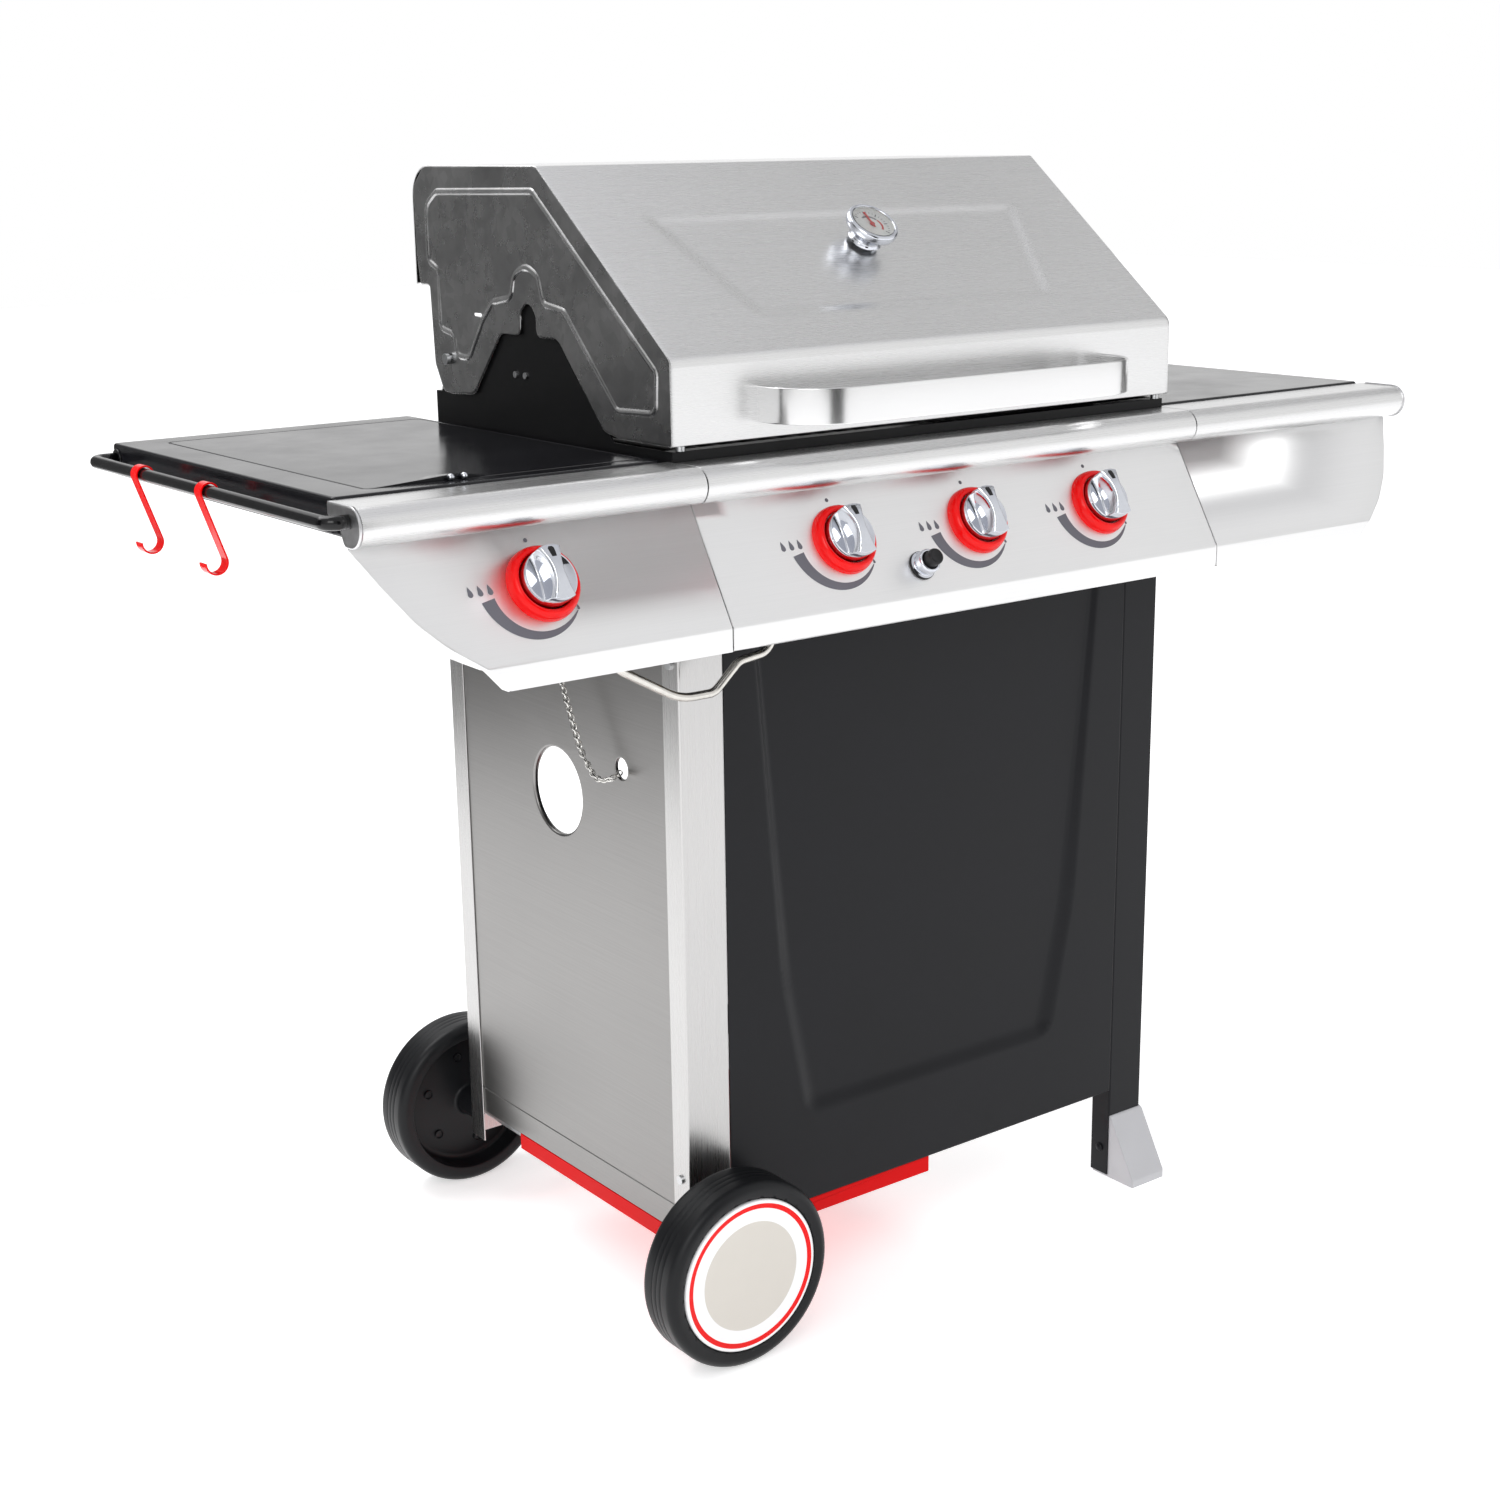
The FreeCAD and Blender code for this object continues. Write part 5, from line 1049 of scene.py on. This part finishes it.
def field_depth(x, up):
    """Depth of the pressed field on the slope, a trapezoid with rounded corners and soft walls."""
    x = abs(x)
    low, high = 45.0, 197.0
    x_low, x_high = 188.0, 242.0
    lean = math.hypot(high - low, x_high - x_low)
    side = ((x - x_low) * (high - low) - (up - low) * (x_high - x_low)) / lean
    r, wall, depth = 14.0, 18.0, 4.0
    parts = [side + r, low - up + r, up - high + r]
    outside = math.sqrt(sum(max(p, 0.0) ** 2 for p in parts)) - r
    if outside == -r:
        outside = max(parts) - r
    t = min(max(-outside / wall, 0.0), 1.0)
    return depth * t * t * (3 - 2 * t)


def hood_profile():
    """(y, z, distance up the slope or None) from the front hem over the top to the rear hem."""
    front = [(9.0, HOOD_BOTTOM + 1.0, None), (1.2, HOOD_BOTTOM + 0.2, None), (0.2, HOOD_BOTTOM + 0.9, None),
             (0, HOOD_BOTTOM + 2, None), (0, HOOD_BOTTOM + 38, None)]
    crease = soften([(0, CREASE_Z - 40), (0, CREASE_Z), tuple(on_slope(0, 40).yz)], 14, 8)
    out = front + [(p.x, p.y, None) for p in crease[1:-1]]
    ups = [14 + k * (SLOPE_LEN - 28) / 84 for k in range(85)]
    out += [(on_slope(0, u).y, on_slope(0, u).z, u) for u in ups]
    top = soften([on_slope(0, SLOPE_LEN - 12).yz, (TOP_FRONT_Y, HOOD_TOP), (TOP_FRONT_Y + 40, HOOD_TOP)], 9, 6)
    out += [(p.x, p.y, None) for p in top[1:-1]]
    rear = soften([(TOP_FRONT_Y + 40, HOOD_TOP), (HOOD_REAR, HOOD_TOP), (HOOD_REAR, HOOD_REAR_BOTTOM + 1)],
                  HOOD_REAR_R, 12)
    out += [(p.x, p.y, None) for p in rear]
    return out + [(HOOD_REAR - 1.5, HOOD_REAR_BOTTOM, None), (HOOD_REAR - 10, HOOD_REAR_BOTTOM, None)]


def hood_shell():
    x1 = HOOD_HALF_W - 1.0
    columns = 128
    profile = hood_profile()
    rows = [[(x, y, z) if up is None else on_slope(x, up, -field_depth(x, up)) for y, z, up in profile]
            for x in (-x1 + 2 * x1 * i / columns for i in range(columns + 1))]
    shape = Shape().grid(rows, flip=True)
    # The shell's inner faces get painted shade: a near-black finish for the inside of the hood.
    make("hood_shell_sheet", shape, "stainless hood_inside", "hood", "hood_shell", thick=SHEET, inner=1)


def hood_side_outline():
    """Outline of a hood side plate in (y, z), clockwise from the top front corner."""
    p, q = 389.0, DECK_Z + 64.0
    rear, step = HOOD_REAR - 2, HOOD_REAR_BOTTOM
    upper = [(TOP_FRONT_Y, HOOD_TOP), (0, CREASE_Z), (0, HOOD_BOTTOM)]
    cut_out = [(p - 306, HOOD_BOTTOM), (p - 280, HOOD_BOTTOM + 5), (p - 206, q + 31), (p - 168, q + 31),
               (p - 168, q + 52), (p - 155, q + 65), (p - 141, q + 52), (p - 141, q + 31), (p - 104, q + 31),
               (p - 49, LEDGE_Z + 2), (p - 6, LEDGE_Z - 1), (p + 14, LEDGE_Z + 1), (p + 29, q - 6),
               (rear - 24, step), (rear - 5, step), (rear - 1, step + 25), (rear, step + 60),
               (rear, HOOD_TOP - 20), (rear - 22, HOOD_TOP)]
    radii = [8, 10, 3] + [4, 14, 12, 8, 10, 13, 10, 8, 12, 14, 5, 8, 12, 4, 4, 6, 8, 16, 20]
    return soften(upper + cut_out, radii, 6, closed=True)


LEDGE_Z = DECK_Z + 30.0
RIDGE = ((399, 1096), (218, 1098), (21, 944), (23, 907), (85, 905), (169, 990), (206, 995), (213, 1020),
         (234, 1030), (257, 1020), (263, 998), (298, 993), (319, 973), (346, 936), (372, 936), (375, 957),
         (402, 962), (401, 1020), (421, 1028), (421, 1083))
RIDGE_R = (14, 9, 8, 10, 10, 12, 12, 14, 26, 14, 12, 12, 12, 14, 12, 9, 9, 10, 9, 18)


def hood_side():
    """Zinc side plate with a rounded rim, a pressed ridge line with a painted highlight along its crest, and its
    rolled cut-out.
    """
    outline = counter_clockwise(hood_side_outline())
    x = HOOD_HALF_W
    crest = bead(soften(RIDGE, RIDGE_R, 8, closed=True), 3.4, 1.5)
    rim = [(offset_loop(outline, -d), up) for d, up in ((0.9, 0.5), (1.8, 0.8), (3.0, 1.0))]

    def lift(y, z, height):
        return (-(x - 1.4 + height), y, z)

    creases = rim + [(loop, 1.0 + h) for loop, h in crest]
    holes = [circle(389, DECK_Z + 64, 3.3, 20), rectangle(321, 977.4, 337, 980.6, 1.5, 3)]
    shape = plate(outline, holes, creases, lift, flip=True)
    # Faces on the ridge's crest take the lighter zinc: a painted highlight along the bend.
    for i, face in enumerate(shape.faces):
        corners = [shape.points[k] for k in face]
        middle = Vector((sum(p.y for p in corners), sum(p.z for p in corners))) / len(corners)
        if inside(middle, crest[5][0]) and not inside(middle, crest[1][0]):
            shape.kinds[i] = 1
    shape.mirrored()
    # The side plates' inner faces get the same near-black painted shade.
    make("hood_sides_pressed", shape, "zinc_plate zinc_bright hood_inside", "hood", "hood_sides", thick=SHEET,
         inner=2)


def hood_handle():
    """Flat bar handle whose ends sweep back to the hood."""
    low, high = limits("hood_handle")
    half, flat, reach = high.x, 153.0, -low.y

    def side(sign):
        sweep = [(sign * (flat + (half - flat) * across), -14 - (reach - 14) * along)
                 for across, along in arc(0, 0, 1, 0, 90, 24)]
        return [(sign * half, 0.5)] + sweep

    middle = [(-flat + 2 * flat * k / 12, -reach) for k in range(1, 12)]
    path = side(-1) + middle + side(1)[::-1]
    z0, z1 = low.z, high.z
    zs = [z0, z0 + 1.2, (z0 + z1) / 2, z1 - 1.2, z1]
    belly = [0.9, 0.0, 0.0, 0.0, 0.9]
    rows = []
    for z, back in zip(zs, belly):
        ring = []
        for i, (x, y) in enumerate(path):
            a, b = Vector(path[max(i - 1, 0)]), Vector(path[min(i + 1, len(path) - 1)])
            n = (b - a).normalized()
            ring.append((x - n.y * back, y + n.x * back, z))
        rows.append(ring)
    shape = Shape().grid(rows)
    make("hood_handle_bar", shape, "handle_steel", "hood", "hood_handle", "stainless", thick=2.6, bevel=0.3,
         angle=42)


THERMOMETER_UP = 145.0
DIAL_Z = 18.35


def thermometer():
    """Chromed case with a printed dial of tick marks and red and grey sectors."""
    turn = Matrix((Vector((1, 0, 0)), SLOPE_UP, SLOPE_OUT)).transposed().to_4x4()
    place = Matrix.Translation(on_slope(0, THERMOMETER_UP)) @ turn

    def printed(ring, top, kind):
        layers = [[place @ Vector((px, py, z)) for px, py in ring] for z in (DIAL_Z, top)]
        shape.loft(layers, kind=kind, low=False)

    case = [(16.0, -0.2), (17.5, 1.2), (15.0, 2.6), (14.6, 6.0), (17.5, 9.5), (22.5, 12.5), (26.0, 15.0),
            (27.0, 17.5), (27.0, 21.0), (26.4, 22.8), (25.0, 23.8), (23.4, 24.0), (22.4, 23.2), (22.1, 21.5)]
    shape = Shape().lathe(case, place, 96)
    shape.lathe([(22.1, 21.5), (21.9, 18.4), (0, 18.3)], place, 64, kinds=[1, 1])
    shape.lathe([(0, -50), (2.4, -49), (3.0, -46), (3.0, -9), (6.8, -8.5), (6.8, -1)], place, 24, kinds=[0] * 5)
    for i in range(25):
        angle = math.radians(225 - i * 270 / 24)
        long_tick = i % 4 == 0
        inner, outer, wide = (15.2 if long_tick else 17.2), 19.4, (0.55 if long_tick else 0.3)
        way = Vector((math.cos(angle), math.sin(angle)))
        side = Vector((-way.y, way.x)) * wide
        printed([way * inner - side, way * outer - side, way * outer + side, way * inner + side], 18.5, 2)
    for start, end, kind in ((30, -45, 3), (120, 35, 2)):
        outer, inner = arc(0, 0, 12.6, start, end, 12), arc(0, 0, 10.6, start, end, 12)
        for k in range(12):
            printed([inner[k], inner[k + 1], outer[k + 1], outer[k]], 18.45, kind)
    make("thermometer_case_chromed", shape, "chrome dial_white mark_ink red_paint", "hood", "thermometer_case",
         angle=38)


# ---- build everything ----
def build():
    for side, way in (("left", -1), ("right", 1)):
        side_panel("side_panel_" + side, way)
    front_post()
    front_leg()
    front_panel()
    chain()
    wheel("wheel_front", FRONT_Y - HUB_OUT, 1)
    wheel("wheel_rear", REAR_Y + HUB_OUT, -1)
    feet()
    front_rails()
    rail_end_caps()
    control_panel_center()
    for side, way in (("left", -1), ("right", 1)):
        control_wing("control_panel_" + side, way)
    marks()
    bezels()
    for number, x in enumerate(KNOB_X):
        knob(number, x)
    igniter()
    feed_pipe()
    shelf("shelf_left", lid_outline())
    shelf("shelf_right")
    burner_lid()
    towel_rail()
    hook("hook_1")
    hook("hook_2")
    hood_shell()
    hood_side()
    hood_handle()
    thermometer()
    kept = {
        "bottle_tray": ("red_paint", 0.8), "axle": ("zinc", 0.8),
        "fasteners": ("zinc", 0.5), "valve_bodies": ("brass", 0.6), "manifold": ("pipe_steel", 0.5),
        "main_burners": ("burner_steel", 0.2), "flame_tamers": ("burner_steel", 0.4),
        "cooking_grate": ("cast_iron", 0.0), "warming_rack": ("chrome", 0.0), "grease_tray": ("zinc", 0.3),
        "grease_cup": ("zinc", 0.3), "side_burner": ("burner_metal", 0.4), "pan_support": ("cast_iron", 0.5),
        "hood_studs": ("zinc", 0.5), "hinge_pins": ("zinc", 0.5),
        "thermometer_needle": ("red_paint", 0.1), "thermometer_glass": ("glass", 0.2),
    }
    dress("rear_frame", "black_steel", 0.5, second="stainless_post",
          chosen=lambda corners: max(p.x for p in corners) < POST_W + 2 - HALF_W)
    kept.update(("firebox_" + side, ("black_enamel", 0.4)) for side in ("front", "rear", "sides", "floor"))
    kept.update(("valve_plug_%d" % number, ("brass", 0.4)) for number in range(4))
    for node, (finish, bevel) in kept.items():
        dress(node, finish, bevel)


build()


# ---- floor, light and camera ----
def staged_sheet(name, corners, material):
    mesh = bpy.data.meshes.new(name)
    mesh.from_pydata(corners, [], [(0, 1, 2, 3)])
    mesh.materials.append(material)
    piece = add_object(name, mesh)
    return piece


def floor(size=15.0, z=-0.0005):
    n = Nodes("studio_floor", Metallic=0.0, Specular_IOR_Level=0.1, Emission_Color=(1, 1, 1, 1),
              Emission_Strength=0.5)
    cloud = n.noise(1.5, detail=2.0)
    n.paint(n.ramp(cloud, (0.90, 0.90, 0.90), (0.93, 0.93, 0.93)), n.span(cloud, 0.55, 0.7))
    corners = [(-size, -size, z), (size, -size, z), (size, size, z), (-size, size, z)]
    staged_sheet("studio_floor", corners, n.material)


def area_light(name, place, target, size, power):
    data = bpy.data.lights.new(name, "AREA")
    data.shape = "RECTANGLE"
    data.size, data.size_y = size
    data.energy = power
    lamp = add_object(name, data)
    lamp.location = place
    lamp.rotation_euler = (Vector(target) - Vector(place)).to_track_quat("-Z", "Y").to_euler()


def world():
    """Studio surround: pale behind the grill, soft boxes and darker stretches around it, bright overhead."""
    scene_world = bpy.data.worlds.new("studio")
    bpy.context.scene.world = scene_world
    scene_world.use_nodes = True
    tree = scene_world.node_tree
    link = tree.links.new
    split = add_node(tree, "SeparateXYZ")
    link(add_node(tree, "TexCoord").outputs["Generated"], split.inputs["Vector"])
    front, turn = add_node(tree, "Math"), add_node(tree, "Math")
    front.operation, turn.operation = "MULTIPLY", "ARCTAN2"
    front.inputs[1].default_value = -1.0
    link(split.outputs["Y"], front.inputs[0])
    link(split.outputs["X"], turn.inputs[0])
    link(front.outputs["Value"], turn.inputs[1])
    share = add_node(tree, "MapRange", From_Min=-math.pi, From_Max=math.pi)
    link(turn.outputs["Value"], share.inputs["Value"])
    around = add_node(tree, "ValToRGB")
    stops = ((-180, 1.0), (-140, 1.0), (-128, 0.55), (-90, 0.55), (-72, 0.95), (-26, 0.95), (-18, 0.55),
             (6, 0.55), (16, 1.0), (64, 1.0), (78, 0.7), (104, 0.7), (118, 1.0), (180, 1.0))
    elements = around.color_ramp.elements
    elements[0].position, elements[1].position = 0.0, 1.0
    for degrees, value in stops[1:-1]:
        elements.new((degrees + 180) / 360)
    for element, (degrees, value) in zip(elements, stops):
        element.color = grey(value) + (1,)
    link(share.outputs["Result"], around.inputs["Fac"])
    above = add_node(tree, "MapRange", From_Min=0.45, From_Max=0.85)
    above.interpolation_type = "SMOOTHSTEP"
    link(split.outputs["Z"], above.inputs["Value"])
    mixed = add_node(tree, "MixRGB", Color2=(0.78, 0.78, 0.80, 1))
    link(above.outputs["Result"], mixed.inputs["Fac"])
    link(around.outputs["Color"], mixed.inputs["Color1"])
    background = tree.nodes["Background"]
    link(mixed.outputs["Color"], background.inputs["Color"])
    background.inputs["Strength"].default_value = 1.0


def card(name, corners, shade):
    """A matt board around the grill that only shows as a reflection in its metal."""
    n = Nodes(name, Metallic=0.0, Specular_IOR_Level=0.0)
    cloud = n.noise(1.0, detail=1.0)
    n.paint(n.ramp(cloud, grey(shade), grey(shade * 1.2)), n.span(cloud, 0.8, 0.9))
    piece = staged_sheet(name, corners, n.material)
    piece.visible_camera = False
    piece.visible_shadow = False
    piece.visible_diffuse = False


def upright(name, turn, half_width, distance, low, high, shade):
    """An upright card at a direction around the grill, in degrees from the front towards the right."""
    a = math.radians(turn)
    way, side = Vector((math.sin(a), -math.cos(a), 0)), Vector((math.cos(a), math.sin(a), 0))
    places = ((-half_width, low), (half_width, low), (half_width, high), (-half_width, high))
    card(name, [way * distance + side * across + Vector((0, 0, z)) for across, z in places], shade)


def camera():
    data = bpy.data.cameras.new("camera")
    data.lens = 54.4
    data.sensor_width = 36.0
    cam = add_object("camera", data)
    yaw, pitch, roll = math.radians(-36.8), math.radians(15.1), math.radians(-0.8)
    look = Vector((-math.sin(yaw) * math.cos(pitch), math.cos(yaw) * math.cos(pitch), -math.sin(pitch)))
    right = look.cross(Vector((0, 0, 1))).normalized()
    up = right.cross(look)
    right_rolled = right * math.cos(roll) + up * math.sin(roll)
    up_rolled = up * math.cos(roll) - right * math.sin(roll)
    turn = Matrix((right_rolled, up_rolled, -look)).transposed()
    cam.matrix_world = Matrix.Translation(row((-1463.4, -1642.7, 1142.9))) @ turn.to_4x4()
    bpy.context.scene.camera = cam


floor()
world()
upright("card_left_rear", -143, 1.3, 2.3, 0.0, 2.0, 0.16)
upright("card_left", -104, 0.45, 2.4, 0.1, 2.2, 0.03)
upright("card_front", -6, 0.42, 2.6, 0.2, 2.4, 0.03)
upright("card_right", 88, 0.45, 2.6, 0.1, 2.0, 0.10)
card("card_above", [(1.0, -0.7, 2.9), (3.4, -0.7, 2.5), (3.4, 1.9, 2.5), (1.0, 1.9, 2.9)], 0.42)
area_light("key_left", (-2.6, -2.4, 2.6), (-0.1, 0, 0.7), (1.8, 1.8), 34)
area_light("top_rear", (-0.9, 1.6, 3.4), (0.0, 0.2, 0.3), (2.6, 2.2), 60)
camera()
bpy.context.scene.view_settings.view_transform = "Standard"
